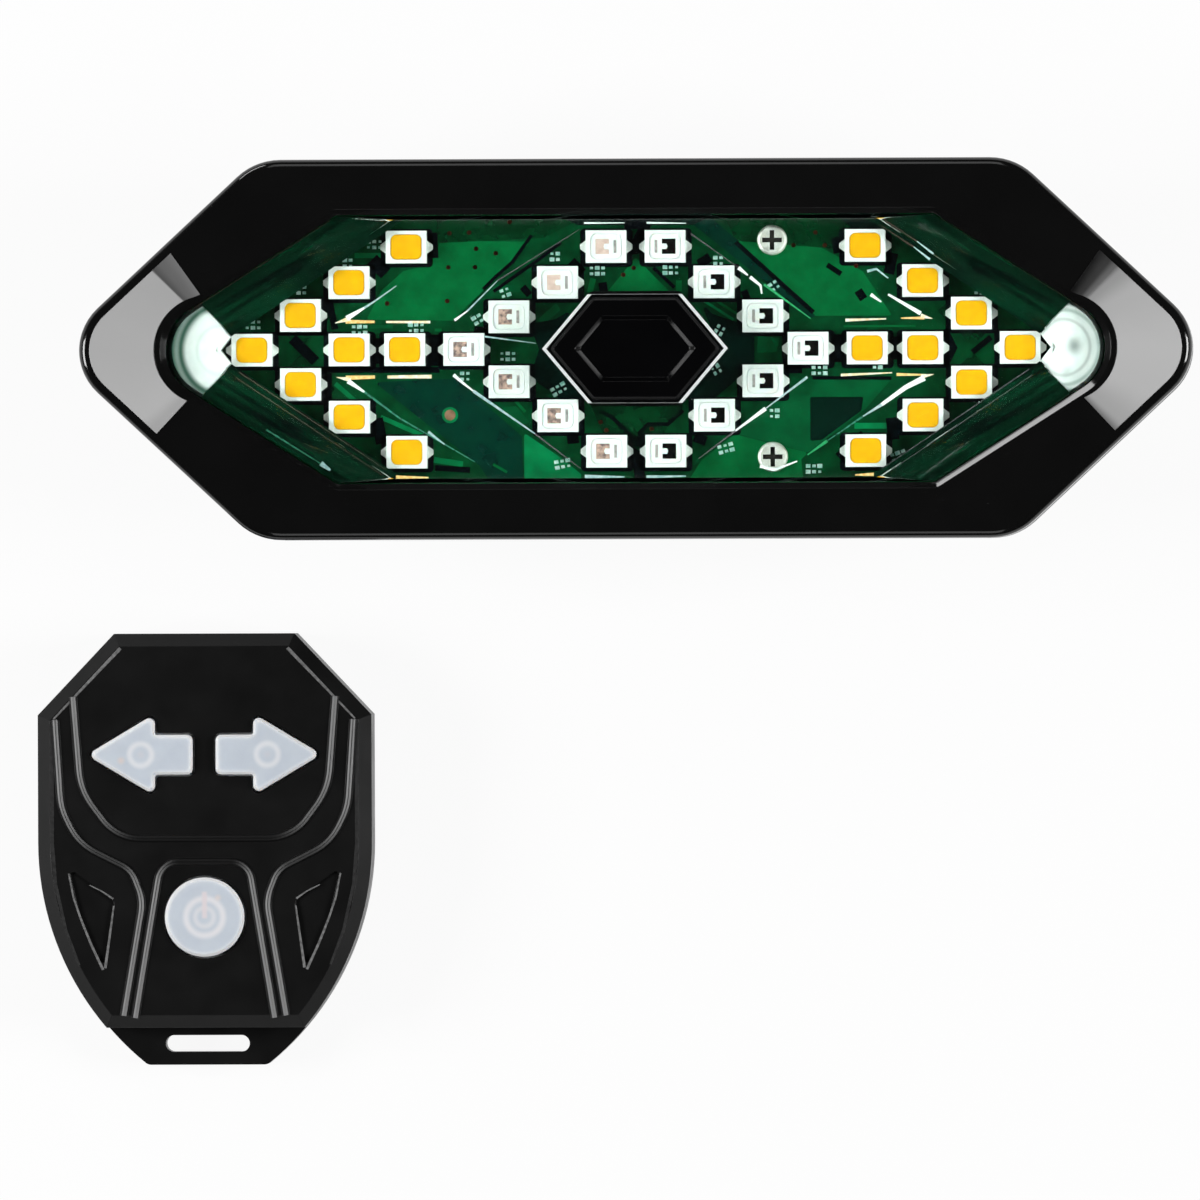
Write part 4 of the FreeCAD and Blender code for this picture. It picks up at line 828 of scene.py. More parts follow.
def dress(node: str, finish: Finish) -> None:
    """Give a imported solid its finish, in every material slot that it has."""
    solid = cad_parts[node]
    if not solid.material_slots:
        solid.data.materials.append(finish.material())
    for material_slot in solid.material_slots:
        material_slot.material = finish.material()
    log.info("%s: %s", node, finish.name)


def middle_of(node: str) -> Point:
    """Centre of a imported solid's box, seen from the front, in mm."""
    low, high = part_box(node)
    return ((low.x + high.x) / 2 / MM, (low.y + high.y) / 2 / MM)


def top_of(node: str) -> float:
    """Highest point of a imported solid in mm."""
    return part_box(node)[1].z / MM


# Sub-assemblies


@dataclass
class Dressed:
    """A sub-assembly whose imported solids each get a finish."""

    finishes: dict[str, Finish] = field(default_factory=dict)

    def make(self) -> None:
        """Dress each solid."""
        for node, finish in self.finishes.items():
            dress(node, finish)


@dataclass
class LampCasing(Dressed):
    """Rear tray, gloss bezel with its grey end panels, seal and screws."""

    panel_apex: float = 34.6        # where a panel's cut ends meet, from the lamp's middle
    # Painted reflection on each panel: angle from the panel's own axis, and its grey there
    left_reflection_greys: Shades = (
        (-60, "#A6A6A6"), (-44, "#AAAAAA"), (-36, "#B8B8B8"), (0, "#B2B2B2"),
        (43.8, "#ACACAC"), (44.8, "#525252"), (50, "#666666"), (60, "#787878"))
    right_reflection_greys: Shades = (
        (-60, "#1C1C1C"), (-50, "#4A4A4A"), (-41, "#A8A8A8"), (-20, "#BCBCBC"), (0, "#BEBEBE"),
        (30, "#B4B4B4"), (42, "#9A9A9A"), (46, "#626262"), (50, "#343434"), (58, "#060606"))
    # Painted reflection of the bezel beside a panel's upper end, up to the next 9 degrees
    panel_end: Path = (41.5, 7, 40.04, 8.37, 37.5, 4.8, 38.08, 4.57, 38.6, 4.4, 39.03, 4.19)
    panel_end_proud: float = 0.06
    panel_sink: float = 0.05        # the bezel's face lies this far below the panels
    finishes: dict[str, Finish] = field(default_factory=lambda: {
        "rear_housing": MouldedPlastic("black_abs_tray_satin", "#161617", "#1B1B1C", 0.5),
        # Piano black ABS from a mirror-polished mould: deep black, with sharp reflections
        "front_bezel": MouldedPlastic("piano_black_abs_bezel", "#0D0D0D", "#0F0F0F", 0.09,
                                      Mould.MIRROR, 0.05),
        "lens_seal": MouldedRubber("black_silicone_seal", "#0E0E0F", "#1A1A1A"),
        # Zinc-plated steel, tumbled: dull blue-grey
        "case_screws": PlatedMetal("zinc_plated_steel_screws", "#6E7074", "#55585C", 0.35),
    })

    def make(self) -> None:
        """Dress the solids, then add the painted reflection in the bezel beside the panels' upper
        ends.
        """
        super().make()
        x, y = middle_of("front_bezel")
        for side, name, shades in ((-1, "left", self.left_reflection_greys),
                                   (1, "right", self.right_reflection_greys)):
            finish = SatinPanel("grey_panel_painted_reflection_" + name, (x + side * self.panel_apex, y),
                                side, shades)
            dress("end_panel_" + name, finish)
            face = top_of("end_panel_" + name) - self.panel_sink
            end = mirrored(outline(self.panel_end), side)
            add_piece("panel_end_" + name, [plate(end, face, face + self.panel_end_proud)],
                      finish, "lamp", (x, y))


class Tone(Enum):
    """Painted light and shade that a moulded rib of the lens picks up.

    Each tone holds its colour, its cloud, and how much it covers.
    """

    WHITE = ("#FFFFFF", "#EAF3F1", 1.0)
    CREAM = ("#FFF6E6", "#F2D2A2", 1.0)
    WARM = ("#FFDF9A", "#F2B25E", 1.0)
    PALE = ("#C8DCE0", "#8FB4B8", 0.9)
    TEAL = ("#3E9A80", "#1F6A55", 0.7)
    GREEN = ("#22B46C", "#109050", 0.9)
    GREY = ("#6E666C", "#565058", 0.55)
    BROWN = ("#5A3A30", "#4A3028", 0.7)


@dataclass
class LampLens:
    """Clear lens, with the ribs on its underside in painted light and shade, the painted shade of
    its border, and a painted highlight on the polished edge of its button hole.
    """

    lens_depth: float = 3.0         # from the lens's flat top to its underside
    rib_depth: float = 0.05
    rib_step: float = 0.002         # one tone's ribs under the next tone's
    shade_depth: float = 0.03
    hole_tip: float = 7.4           # the button's half length
    hole_half_height: float = 4.475
    hole_slope: float = math.radians(50.0)
    hole_gap: float = 0.2
    edge_width: float = 0.26        # painted highlight on the hole's diagonals
    edge_width_flat: float = 0.015  # and along its top and bottom
    edge_depth: float = 0.3
    edge_proud: float = 0.03
    # Thin ribs in the painted light and shade that they pick up, all on the lens's underside
    ribs: tuple[tuple[Tone, Runs], ...] = (
        (Tone.WHITE, (
            (0.46, 0.4, -24.9, 2.7, -23.4, 3.6), (0.22, 0.4, -15.6, 2.5, -14.5, 3.3),
            (0.42, 0.4, -24.8, -2.7, -23.4, -3.65),
            (0.3, 0.4, -15.7, -2.2, -14.9, -2.9, -14, -3.6), (0.34, 0.4, 8.9, 6.95, 9.7, 6.3),
            (0.3, 0.4, 9.9, 6.15, 10.8, 5.4, 10.9, 4.7), (0.32, 0.4, 20.3, 4.6, 21.2, 3.95),
            (0.36, 0.5, 24.6, 2.95, 21.8, 4.6), (0.36, 0.4, 11.2, -5.2, 8.6, -7.1),
            (0.5, 0.6, 24.9, -2.6, 23.3, -3.4, 21.2, -4.9),
            (0.3, 0.4, 10.7, -10.15, 11.9, -10.5, 13.9, -9.75),
            (0.16, 0.4, -4.4, 10.85, -0.9, 10.85), (0.16, 0.4, 1, 10.85, 4.4, 10.8))),
        (Tone.CREAM, (
            (0.46, 0.1, -24.6, 2.7, -25.9, 2.3), (0.22, 0.8, -17.7, 2.36, -21.5, 2.38),
            (0.42, 0.1, -24.6, -2.6, -25.8, -2.36), (0.32, 0.8, -17.6, -2.34, -21.4, -2.36),
            (0.4, 0.1, 24.6, 2.75, 25.6, 2.5), (0.26, 0.4, 18.1, 2.39, 21.6, 2.5),
            (0.4, 0.1, 24.6, -2.5, 25.7, -2.3), (0.24, 0.4, 17.7, -2.34, 22.1, -2.15))),
        (Tone.WARM, (
            (0.34, 0.6, -25, 2.42, -22.5, 2.4), (0.38, 0.7, -25, -2.42, -22.5, -2.36),
            (0.26, 0.4, 24.9, 2.56, 22.9, 2.55), (0.26, 0.4, 22.5, -2.3, 25.2, -2.35),
            (0.3, 0.4, 20.5, -10.9, 18.9, -10.95), (0.3, 0.4, -20.7, -11, -17.9, -11.05))),
        (Tone.PALE, (
            (0.2, 0.4, -23.4, 3.6, -22.6, 4.1, -20.6, 5.5), (0.14, 0.4, -14.5, 3.3, -11.9, 5.9),
            (0.14, 0.4, -13, 1.1, -8.6, 0.5), (0.24, 0.4, -17.9, -7.1, -16.5, -8.2),
            (0.5, 0.4, -27, -9.5, -26.2, -10.1), (0.26, 0.4, -14, -3.6, -8.7, -7.3),
            (0.24, 0.4, 20, 6.6, 20.8, 6.8, 21.8, 6), (0.22, 0.4, 14.8, -2.5, 11.2, -5.2),
            (0.26, 0.4, 21.2, -4.9, 19.6, -5.9), (0.3, 0.4, -4.4, -11, -1, -11.05),
            (0.26, 0.4, 0.9, -11.05, 4.3, -11), (0.2, 0.4, 25.4, 7.6, 24, 8.7))),
        (Tone.TEAL, (
            (0.2, 0.4, -23.6, -3.5, -20.4, -5.9, -13.9, -9.7),
            (0.16, 0.4, -31.7, -6.6, -26.4, -9.9), (0.16, 0.4, 19.6, -5.9, 16.5, -8))),
        (Tone.GREEN, (
            (0.22, 0.4, 11.1, 5.5, 15.1, 2.55), (0.28, 0.4, 16.5, -8, 14.8, -9.2))),
        (Tone.GREY, (
            (0.12, 0.4, -11.9, 5.9, -4.8, 10.3), (0.14, 0.4, -8.7, -7.3, -4.8, -10.3),
            (0.14, 0.4, 4.8, 9.9, 8.9, 6.95), (0.16, 0.4, 8.6, -7.1, 5.4, -9.5),
            (0.12, 0.4, 33.9, -1.9, 21.2, -10.4))),
        (Tone.BROWN, (
            (0.1, 0.4, -34.2, -1.9, -21.5, -10.4), (0.14, 0.4, 24, 8.7, 21.1, 10.6),
            (0.12, 0.4, 38.4, 3.2, 26.2, 10.9), (0.12, 0.4, -38.4, 3.2, -26.2, 10.9),
            (0.12, 0.4, 38.4, -3.2, 26.4, -10.8))),
    )
    # Painted shade under one quarter of the border, from the guide at the tip to the long side
    shade: Path = (37.35, 3.78, 25.66, 11.2, 19.95, 11.2, 34.85, 1.2)
    shade_slope: float = 32.4

    lens_finish: Finish = ClearPolycarbonate("clear_polycarbonate_lens", "#F4FBF8")
    # Painted highlight round the button hole
    hole_highlight_finish: Finish = InkAndPaintedLight("painted_hole_highlight", "#F4F6F6", "#DDE6E4")

    def add(self, name: str, sheets: list[Sheet], finish: Finish) -> None:
        """Add a piece that rides on the lamp and belongs to the lens."""
        add_piece(name, sheets, finish, "lamp", middle_of("front_bezel"))

    def make(self) -> None:
        """Dress the lens, then add its ribs by tone, the painted shade of its border, and the
        painted highlight round its button hole.
        """
        dress("clear_lens", self.lens_finish)
        top = top_of("clear_lens")
        underside = top - self.lens_depth
        for number, (tone, runs) in enumerate(self.ribs, 1):
            level = underside - number * self.rib_step
            name = tone.name.lower()
            self.add("lens_ribs_" + name,
                     [plate(ribbon(run), level - self.rib_depth, level) for run in runs],
                     InkAndPaintedLight("lens_rib_" + name, *tone.value))
        shades = [plate(mirrored(outline(self.shade), x, y), underside - 2 * self.shade_depth,
                        underside - self.shade_depth) for x in (1, -1) for y in (1, -1)]
        self.add("lens_border_shade", shades,
                 StreakedShade("painted_border_shade", "#010E09", "#04331F",
                               middle_of("front_bezel"), self.shade_slope))
        hole_tip = self.hole_tip + self.hole_gap / math.sin(self.hole_slope)
        half = self.hole_half_height + self.hole_gap
        inner = hexagon(hole_tip, half, self.hole_slope)
        outer = hexagon(hole_tip + self.edge_width / math.sin(self.hole_slope),
                        half + self.edge_width_flat, self.hole_slope)
        self.add("button_hole_highlight",
                 [frame_of(outer, inner, top - self.edge_depth, top + self.edge_proud)],
                 self.hole_highlight_finish)


class Copper(Enum):
    """How the mask looks over the copper under it: its colour and the colour of its clouds.

    Two of the kinds are also painted shade, where the bezel and the button shade the board.
    """

    BRIGHT = ("#036936", "#025A2D")
    VIVID = ("#04804A", "#056E3E")
    MIDDLE = ("#035830", "#034C29")
    # Deep green over copper, and the painted shade along the board's upper edge under the bezel
    DEEP_AND_SHADED = ("#023A1D", "#012C15")
    TEAL = ("#023427", "#022B23")
    # Painted shadow beside the button's ends and under the bezel's upper edge
    SHADOW = ("#02211A", "#011611")

    @property
    def finish(self) -> Finish:
        """Solder mask in this colour."""
        return SolderMask("green_mask_" + self.name.lower(), *self.value, 1.8)


@dataclass
class CircuitBoard(Dressed):
    """Board under the lens: copper, print, lights with their lead frames, screws and guides."""

    half_length: float = 40.4       # of the lens's window
    half_height: float = 11.5
    light_length: float = 3.5
    light_width: float = 2.8
    # Centres of the lights, as shares of the window's half sizes
    turn_spread: Path = (0.8205, 0, 0.7166, 0.2591, 0.7166, -0.2591, 0.6126, 0.5043, 0.6126,
                         -0.5043, 0.4901, 0.7696, 0.4901, -0.7696, 0.6126, 0, 0.4938, 0)
    brake_spread: Path = (0.0631, 0.7678, 0.1671, 0.5, 0.271, 0.2435, 0.3676, 0, 0.271, -0.2435,
                          0.1671, -0.5, 0.0631, -0.7678)
    copper: float = 0.04            # thickness of copper and mask
    layer_step: float = 0.002       # one layer's face over the one below
    print_thickness: float = 0.02
    print_gap: float = 0.03         # from the copper's face to the print
    keep_out_and_shadow: float = 0.34          # bare laminate and painted shadow round each light
    keep_out_corner: float = 0.35
    copper_corner: float = 0.14
    # Outlines of the copper areas, some of them painted shade, then the tracks and the etched gaps
    # as lines
    areas: tuple[tuple[Copper, tuple[Path, ...]], ...] = (
        (Copper.BRIGHT, (
            (-23.3, 2.6, -15.8, 2.5, -12.9, 5.4, -10.7, 7.6, -9.1, 9.3, -16.8, 9.4, -17.9, 7.3,
            -20.1, 6.8, -22, 5.1),
            (15.3, 2.8, 22.1, 2.8, 19.6, 6.6, 18, 7.6, 13.6, 10, 12.4, 10.6, 8.6, 9.2, 12.1, 5.9),
            (8.5, -7.4, 14.8, -9, 14.2, -9.6, 14.4, -11.5, 4.4, -11.5, 5.6, -9.6),
            (-0.03, 7.9, -2.6, 4.8, 3, 4.8))),
        (Copper.VIVID, (
            (-9.7, -7.2, -6.2, -9.6, -4.8, -10.8, -4.8, -11.5, -9.7, -11.5),)),
        (Copper.MIDDLE, (
            (14.9, -2.5, 22.1, -2.6, 19.8, -5.2, 14.8, -9, 8.6, -7.3, 11.1, -5.3),
            (-11.7, -5, -10.2, -6.7, -9.2, -6.3, -10.4, -4.9),
            (-8.6, 2.5, -6.9, 4, -6.5, 3.4, -7.9, 2.2),
            (10.4, -0.4, 10.5, 1.1, 12.4, 0.9, 12.1, -0.3))),
        # Deep green, and in the first two the painted shade along the upper edge under the bezel
        (Copper.DEEP_AND_SHADED, (
            (-17.2, 9.2, -8, 9.6, -5.6, 10.8, -4.8, 11.7, -17.2, 11.7),
            (8.6, 9.3, 17, 8.6, 19.8, 9.8, 20.4, 11.6, 7.6, 11.6),
            (-4, -4.8, 4.1, -4.8, 2.6, -6.9, 1.6, -8.4, -1.2, -8.4, -2.8, -7.4),
            (-29, 0.2, -30.6, 1.6, -27.2, 4.2, -26, 3.2), (29, 0.2, 26, 3.2, 27.2, 4.2, 30.6, 1.6),
            (-29, -0.4, -26, -3.4, -27.2, -4.4, -30.6, -2),
            (29, -0.4, 30.6, -2, 27.2, -4.4, 26, -3.4))),
        (Copper.TEAL, (
            (4.2, 11.3, 12.6, 4.6, 14.9, 2.6, 15.6, 2.7, 8.8, 9.3, 6.4, 11.4),
            (-22.6, -2.8, -15.6, -2.5, -9.9, -7.5, -9.8, -11.5, -12.6, -11.5, -13.6, -10))),
        # Painted shadow beside the button's ends and under the bezel's upper edge
        (Copper.SHADOW, (
            (-5, 10.7, 5, 10.7, 7, 11.7, -7, 11.7), (19.6, 9.6, 21.4, 9.6, 22.6, 11.7, 17, 11.7),
            (-9.2, 2.2, -8.4, 0, -9.2, -2.4, -6.4, -4.4, -4.2, -4.4, -7.4, 0, -5.6, 3.4, -7, 2.6),
            (4.2, -4.4, 6.6, -4.4, 9, -2.4, 10.2, -1.1, 10.2, 1.4, 9, 2.2, 6.6, 3, 5.6, 4, 7.2,
            0))),
    )
    tracks: tuple[tuple[Copper, Runs], ...] = (
        (Copper.VIVID, (
            (0.45, 1, -24.3, 8.15, -21.8, 8.15), (0.4, 1, -22.1, -5.8, -18.5, -7.4),
            (0.5, 1, -17.5, -9.5, -15, -9.9), (0.4, 1, -26, -2.9, -24.2, -4.5),
            (0.5, 1, 18.8, -6.7, 22.6, -6.7), (0.22, 1, 5.6, 4.3, 8.4, 2.5))),
        (Copper.BRIGHT, (
            (0.18, 1, 17.9, 1.9, 24.1, 1.9), (0.5, 1, -4, 4.9, -3.7, 6.1),
            (0.5, 1, 3.7, 5, 3.7, 5.9), (0.22, 1, 6.2, 4.6, 9, 2.8),
            (0.25, 1, -13, -1.6, -9.6, -5.4), (0.25, 1, -17.4, 1.7, -16.8, 1.7),
            (0.22, 1, -12.4, -9.9, -11.2, -10.6))),
        (Copper.MIDDLE, (
            (0.6, 1, -12, 5.25, -10, 5.25), (0.3, 1, -4.4, -11.2, -1, -11.2),
            (0.3, 1, 1, -11.2, 4.2, -11.2), (0.3, 1, -32.4, 4.6, -22, 11.3),
            (0.3, 1, -32.4, -4.6, -22, -11.3), (0.3, 1, 32.4, 4.6, 22, 11.3),
            (0.3, 1, 32.4, -4.6, 22, -11.3), (0.3, 1, -23, 2, -21, 2))),
    )
    gaps: Runs = (
        (0.4, 1, 8.6, 9.2, 12.2, 5.9, 15.3, 3.1),
        (0.3, 1, -9, 9.85, -10.7, 7.5, -12.1, 6.3, -13.2, 5.2),
        (0.3, 1, -6.5, 9.2, -8.2, 7.9, -10.7, 6.15, -12.3, 5), (0.3, 1, 1.5, 7, 3.3, 5.3),
        (0.8, 1, -3.2, 5.3, -2.5, 5.4), (0.35, 1, -3.2, -5.3, -2.1, -5.9, -0.6, -7.4),
        (0.35, 1, 4, -5.3, 2.7, -6.5, 1, -6.5, 0.3, -7.2, 0.1, -8.4),
        (0.3, 1, 15.2, -2.55, 22, -2.6), (0.45, 1, 16.5, 7.2, 17.7, 6.4),
        (0.9, 1, 19.1, 4.4, 19.7, 4.8), (0.5, 1, -17.4, -10.2, -14.4, -10.4),
        (0.5, 1, -34.6, 1.9, -21.9, 10.6), (0.9, 1, -29.7, 1, -27.7, -1),
        (0.9, 1, -22.3, 1, -22.3, -1.2), (0.9, 1, -17.3, 1.3, -17.3, -1.4),
        (0.5, 1, -30.8, -1.7, -17, -1.75), (0.4, 1, -31, 1.5, -26.8, 1.5),
        (1.2, 1, -22.8, 7.8, -21.6, 6.6), (0.9, 1, -17.6, 10.1, -17.5, 7.9),
        (1, 1, -22.4, -5.9, -22, -8.1), (0.6, 1, -26.6, 4.7, -26, 1.8),
        (0.6, 1, -26.6, -4.4, -26.6, -2), (0.7, 1, -14, 1.7, -12.6, 1.5),
        (0.9, 1, -1, 10.8, 0.9, 10.8, 0, 9, 0.1, 8.2), (0.9, 1, -0.9, -8.6, 0, -9.2, 0.3, -11.2),
        (0.8, 1, -5.6, 7.6, -4.6, 6.6), (0.8, 1, 5.4, 7.3, 6.4, 7.9), (0.6, 1, 9.3, 5, 9.6, 4.3),
        (0.6, 1, -9.8, 5.4, -9.2, 4.7), (0.7, 1, 12.9, -1.8, 14.3, -1.8),
        (0.9, 1, -5.4, -4.9, -4.7, -6), (0.8, 1, 5, -7.6, 6, -8), (0.8, 1, -6, -7.8, -5, -7.7),
        (0.6, 1, 26.6, 1.6, 27.4, 0, 26.6, -1.6), (0.9, 1, 22.4, 1, 22.4, -1),
        (0.9, 1, 17.4, 1.2, 17.4, -1.2), (0.5, 1, 30.6, 0.9, 29, -0.4),
        (0.9, 1, 22.2, 8.2, 21.8, 6.4), (1, 1, 22.2, -7.9, 22, -6),
        (1.3, 1, 17.6, -9.6, 19.8, -7.6), (0.7, 1, 17.2, 9.6, 17.4, 8.2),
    )
    # Bare laminate in the pour at the lower right
    bare_area: Path = (15, -4.2, 15, -8, 16, -7.9, 19.4, -5.4, 19.6, -4.2)
    vias: Path = (
        -16.1, 10.05, -14.4, 10.1, -13.8, 8.7, -12.1, 8.3, -16.2, 7.1, -13.9, 7.1, -16.3, 4.2,
        -21.5, 4, -10.9, 11, -0.2, 7, -1.1, 6.4, -3.1, -6.3, -2.6, -7, 1.3, -6.9, 15.5, 10, 16.3,
        8.9, 13.6, 8.9, 19, 7.1)
    via_radius: float = 0.2
    test_pad: Path = (-16.1, -5.65)
    test_pad_radii: Point = (0.7, 0.47)
    # Groups of printed blocks: the group's place, how many across, and its direction in degrees
    print_marks: tuple[tuple[float, float, int, float], ...] = (
        (-22.6, 9.1, 3, 0), (-24.9, 7.5, 2, 0), (-11.3, 4.9, 2, 20), (-7, 8, 2, 0),
        (-23.9, 1.75, 3, 0), (-19, 1.9, 3, 0), (-13.7, 2.6, 2, 30), (-3.35, 6.75, 3, 0),
        (3, 6.8, 3, 0), (7.1, 7.6, 2, 0), (-11.1, -0.6, 3, 0), (-6.7, -3.45, 3, 30),
        (-14.8, -2.3, 2, 0), (-23, -11, 3, 0), (15.8, -1.9, 3, 0), (20.8, -1.4, 2, 0),
        (15.3, -10.4, 3, 0), (22.6, -9.3, 3, 20), (-33.1, 2.2, 3, 0), (-28.9, 5.2, 2, 0),
        (29.6, 5, 2, 0), (29.9, -5, 2, 0), (7.2, 1.6, 2, 60), (6.9, -1.8, 2, 120),
        (-6.4, -9.9, 3, 10), (11.9, 5.4, 2, 35), (11.9, -5.6, 2, 0), (7.7, -8.6, 3, 15),
    )
    block: float = 0.44             # widest printed block
    block_height: float = 0.8       # share of its width
    block_pitch: float = 0.5
    block_step: float = 0.618034    # the golden ratio's fraction
    # A red light's lead frame, about its centre: the hooked plate, and the bar's place and sizes
    hook: Path = (-0.9, -0.66, 0.27, -0.66, 0.27, -0.24, -0.12, -0.24, -0.22, 0, -0.12, 0.24,
                  0.27, 0.24, 0.27, 0.66, -0.9, 0.66)
    bar: tuple[float, float, float] = (0.78, 0.24, 1.1)
    far_marks: int = 2              # lights at the start of the left spread, whose frames get a painted highlight
    guide_depth: float = 4.0        # from the window's tip to the middle of a guide's arc
    slot_depth: float = 0.1         # below the screws' tops, where the dirt and painted shade in the slots start

    finishes: dict[str, Finish] = field(default_factory=lambda: {
        "main_board": SolderMask("green_mask_on_laminate", "#034826", "#02341B", 1.6),
        # Polyphthalamide, moulded: bright white, satin
        **dict.fromkeys(("left_turn_leds", "right_turn_leds", "brake_leds"),
                        MouldedPlastic("white_light_package", "#FFFFFF", "#FBFBFB", 0.4,
                                       Mould.SATIN, 0.02)),
        **dict.fromkeys(("left_turn_led_resin", "right_turn_led_resin"),
                        CastResin("amber_phosphor_resin", "#FFB900", "#FFB200")),
        "brake_led_resin": CastResin("clear_silicone_resin", "#FFFFFF", "#FCFAF9", 0.1),
        # Matt tin, printed and reflowed: almost white where the light falls on it
        "led_terminals": PlatedMetal("tinned_terminals", "#FCFCFA", "#EDEDEA", 0.6),
    })
    # Nearly black: the mask in etched gaps, and painted shadow round the lights
    gap_and_shadow_finish: Finish = SolderMask("mask_in_etched_gap_and_shadow", "#020A0C", "#04070E", 1.0)
    bare_finish: Finish = SolderMask("dark_mask_on_laminate", "#022017", "#011914", 3.0)
    # Bare copper under a thin oxide: dark reddish brown
    via_finish: Finish = PlatedMetal("bare_copper_via", "#5A2A20", "#3A1812", 0.4)
    pad_finish: Finish = PlatedMetal("tarnished_copper_pad", "#C09078", "#9A7058", 0.5)
    print_finish: Finish = InkAndPaintedLight("white_board_print", "#D5EEE8", "#84C2B4", 0.9)
    # Painted light on the frames: lit, a paler painted highlight for the furthest, and painted
    # shade
    lit_frame_finish: Finish = InkAndPaintedLight("painted_lit_lead_frame", "#D9AFA0", "#6E5A5A")
    far_highlight_frame_finish: Finish = InkAndPaintedLight("painted_highlight_lead_frame", "#EBCBC2", "#D9B4AA")
    bar_finish: Finish = InkAndPaintedLight("grey_lead_bar", "#BDB0AE", "#8F8A8A")
    painted_shade_frame_finish: Finish = InkAndPaintedLight("painted_shade_lead_frame", "#060606", "#100C0B", roughness=0.2)

    def places(self, spread: Path, side: int) -> np.ndarray:
        """Centres of the lights on one side in mm, from shares of the window's half sizes."""
        return np.reshape(spread, (-1, 2)) * (side * self.half_length, self.half_height)

    def layer(self, name: str, outlines: list[np.ndarray], level: float, thickness: float,
              finish: Finish) -> None:
        """Add one printed or etched layer on the board.

        Args:
            name: Name of the piece.
            outlines: Anticlockwise outlines, each of shape copies x columns x 2.
            level: Height of its underside above the board in mm.
            thickness: Its thickness in mm.
            finish: Its finish.
        """
        base = top_of("main_board") + level
        sheets = [plate(shape, base, base + thickness) for shape in outlines]
        add_piece(name, sheets, finish, "lamp", middle_of("front_bezel"))

    def pour(self, path: Path) -> np.ndarray:
        """Outline of a copper area, with its corners rounded."""
        return rounded(outline(path), self.copper_corner, 3)

    def make_copper(self) -> None:
        """Pours, tracks, gaps and the bare laminate round each light, one layer on another.

        The dark rims round the lights are bare laminate and painted shadow.
        """
        lights = np.concatenate([self.places(spread, side) for side in (-1, 1)
                                 for spread in (self.turn_spread, self.brake_spread)])
        # Bare laminate and painted shadow round each light: wider at the packages' ends, where the
        # terminals are, and a little lower than they
        around = rectangles(lights - (0.0, self.keep_out_and_shadow / 4),
                            self.light_length + 3 * self.keep_out_and_shadow,
                            self.light_width + 1.5 * self.keep_out_and_shadow)
        halo, pad = (discs(self.test_pad, radius) for radius in self.test_pad_radii)
        layers = [("copper_areas_" + kind.name.lower(), kind.finish, [*map(self.pour, paths)])
                  for kind, paths in self.areas]
        layers += [("copper_tracks_" + kind.name.lower(), kind.finish, [*map(ribbon, runs)])
                   for kind, runs in self.tracks]
        layers += [("board_bare_area", self.bare_finish, [self.pour(self.bare_area)]),
                   ("board_etched_gaps_and_shadows", self.gap_and_shadow_finish,
                    [*map(ribbon, self.gaps), rounded(around, self.keep_out_corner, 4)]),
                   ("test_pad_halo", Copper.VIVID.finish, [halo]),
                   ("test_pad", self.pad_finish, [pad]),
                   ("board_vias", self.via_finish, [discs(self.vias, self.via_radius, 12)])]
        for number, (name, finish, shapes) in enumerate(layers):
            self.layer(name, shapes, number * self.layer_step, self.copper, finish)

    def make_print(self) -> None:
        """Groups of printed blocks, in two rows, whose sizes repeat with no common period.

        A block's width is the widest one times 0.5 to 1, after the fraction of its number times
        the golden ratio.
        """
        blocks = []
        for number, (x, y, count, direction) in enumerate(self.print_marks):
            turn = math.radians(direction)
            places = np.stack(np.meshgrid(np.arange(count) - (count - 1) / 2, (-0.5, 0.5)), -1)
            places = places.reshape(-1, 2) * self.block_pitch
            share = (np.arange(len(places)) + number) * self.block_step % 1.0
            corners = rectangles(np.zeros((len(places), 2)), 1.0, self.block_height)
            corners = corners * (self.block * (0.5 + 0.5 * share))[:, None, None]
            spin = np.array([(math.cos(turn), math.sin(turn)), (-math.sin(turn), math.cos(turn))])
            blocks.append((corners + places[:, None]) @ spin + (x, y))
        self.layer("board_print", blocks, self.copper + self.print_gap, self.print_thickness,
                   self.print_finish)

    def make_lead_frames(self) -> None:
        """Hooked plate and bar that show in each red light: lit on the left, painted shade on the
        right.
        """
        low = top_of("brake_led_resin")
        x, width, height = self.bar
        for side, name, finish, pale_finish in (
                (-1, "left", self.lit_frame_finish, self.far_highlight_frame_finish),
                (1, "right", self.painted_shade_frame_finish, self.painted_shade_frame_finish)):
            centres = self.places(self.brake_spread, side)
            hooks = centres[:, None] + mirrored(outline(self.hook), -side)
            bars = rectangles(centres - (side * x, 0.0), width, height)
            parts = (("highlit_frames_", hooks[:self.far_marks], pale_finish),
                     ("lead_frames_", hooks[self.far_marks:], finish),
                     ("lead_bars_", bars, self.bar_finish))
            for kind, shapes, dressed in parts:
                add_piece(kind + name, [plate(shapes, low, low + self.print_thickness)],
                          dressed, "lamp", middle_of("front_bezel"))

    def guide_finish(self, side: int) -> Finish:
        """Opal acrylic of a tip guide: white, with a teal rim and grey rings of painted shade.

        The lens's slope shows them further out than they are.

        Args:
            side: 1 for the right-hand guide and -1 for the left-hand one.

        Returns:
            The finish of that guide.
        """
        x, y = middle_of("front_bezel")
        tip = x + side * (self.half_length - self.guide_depth)
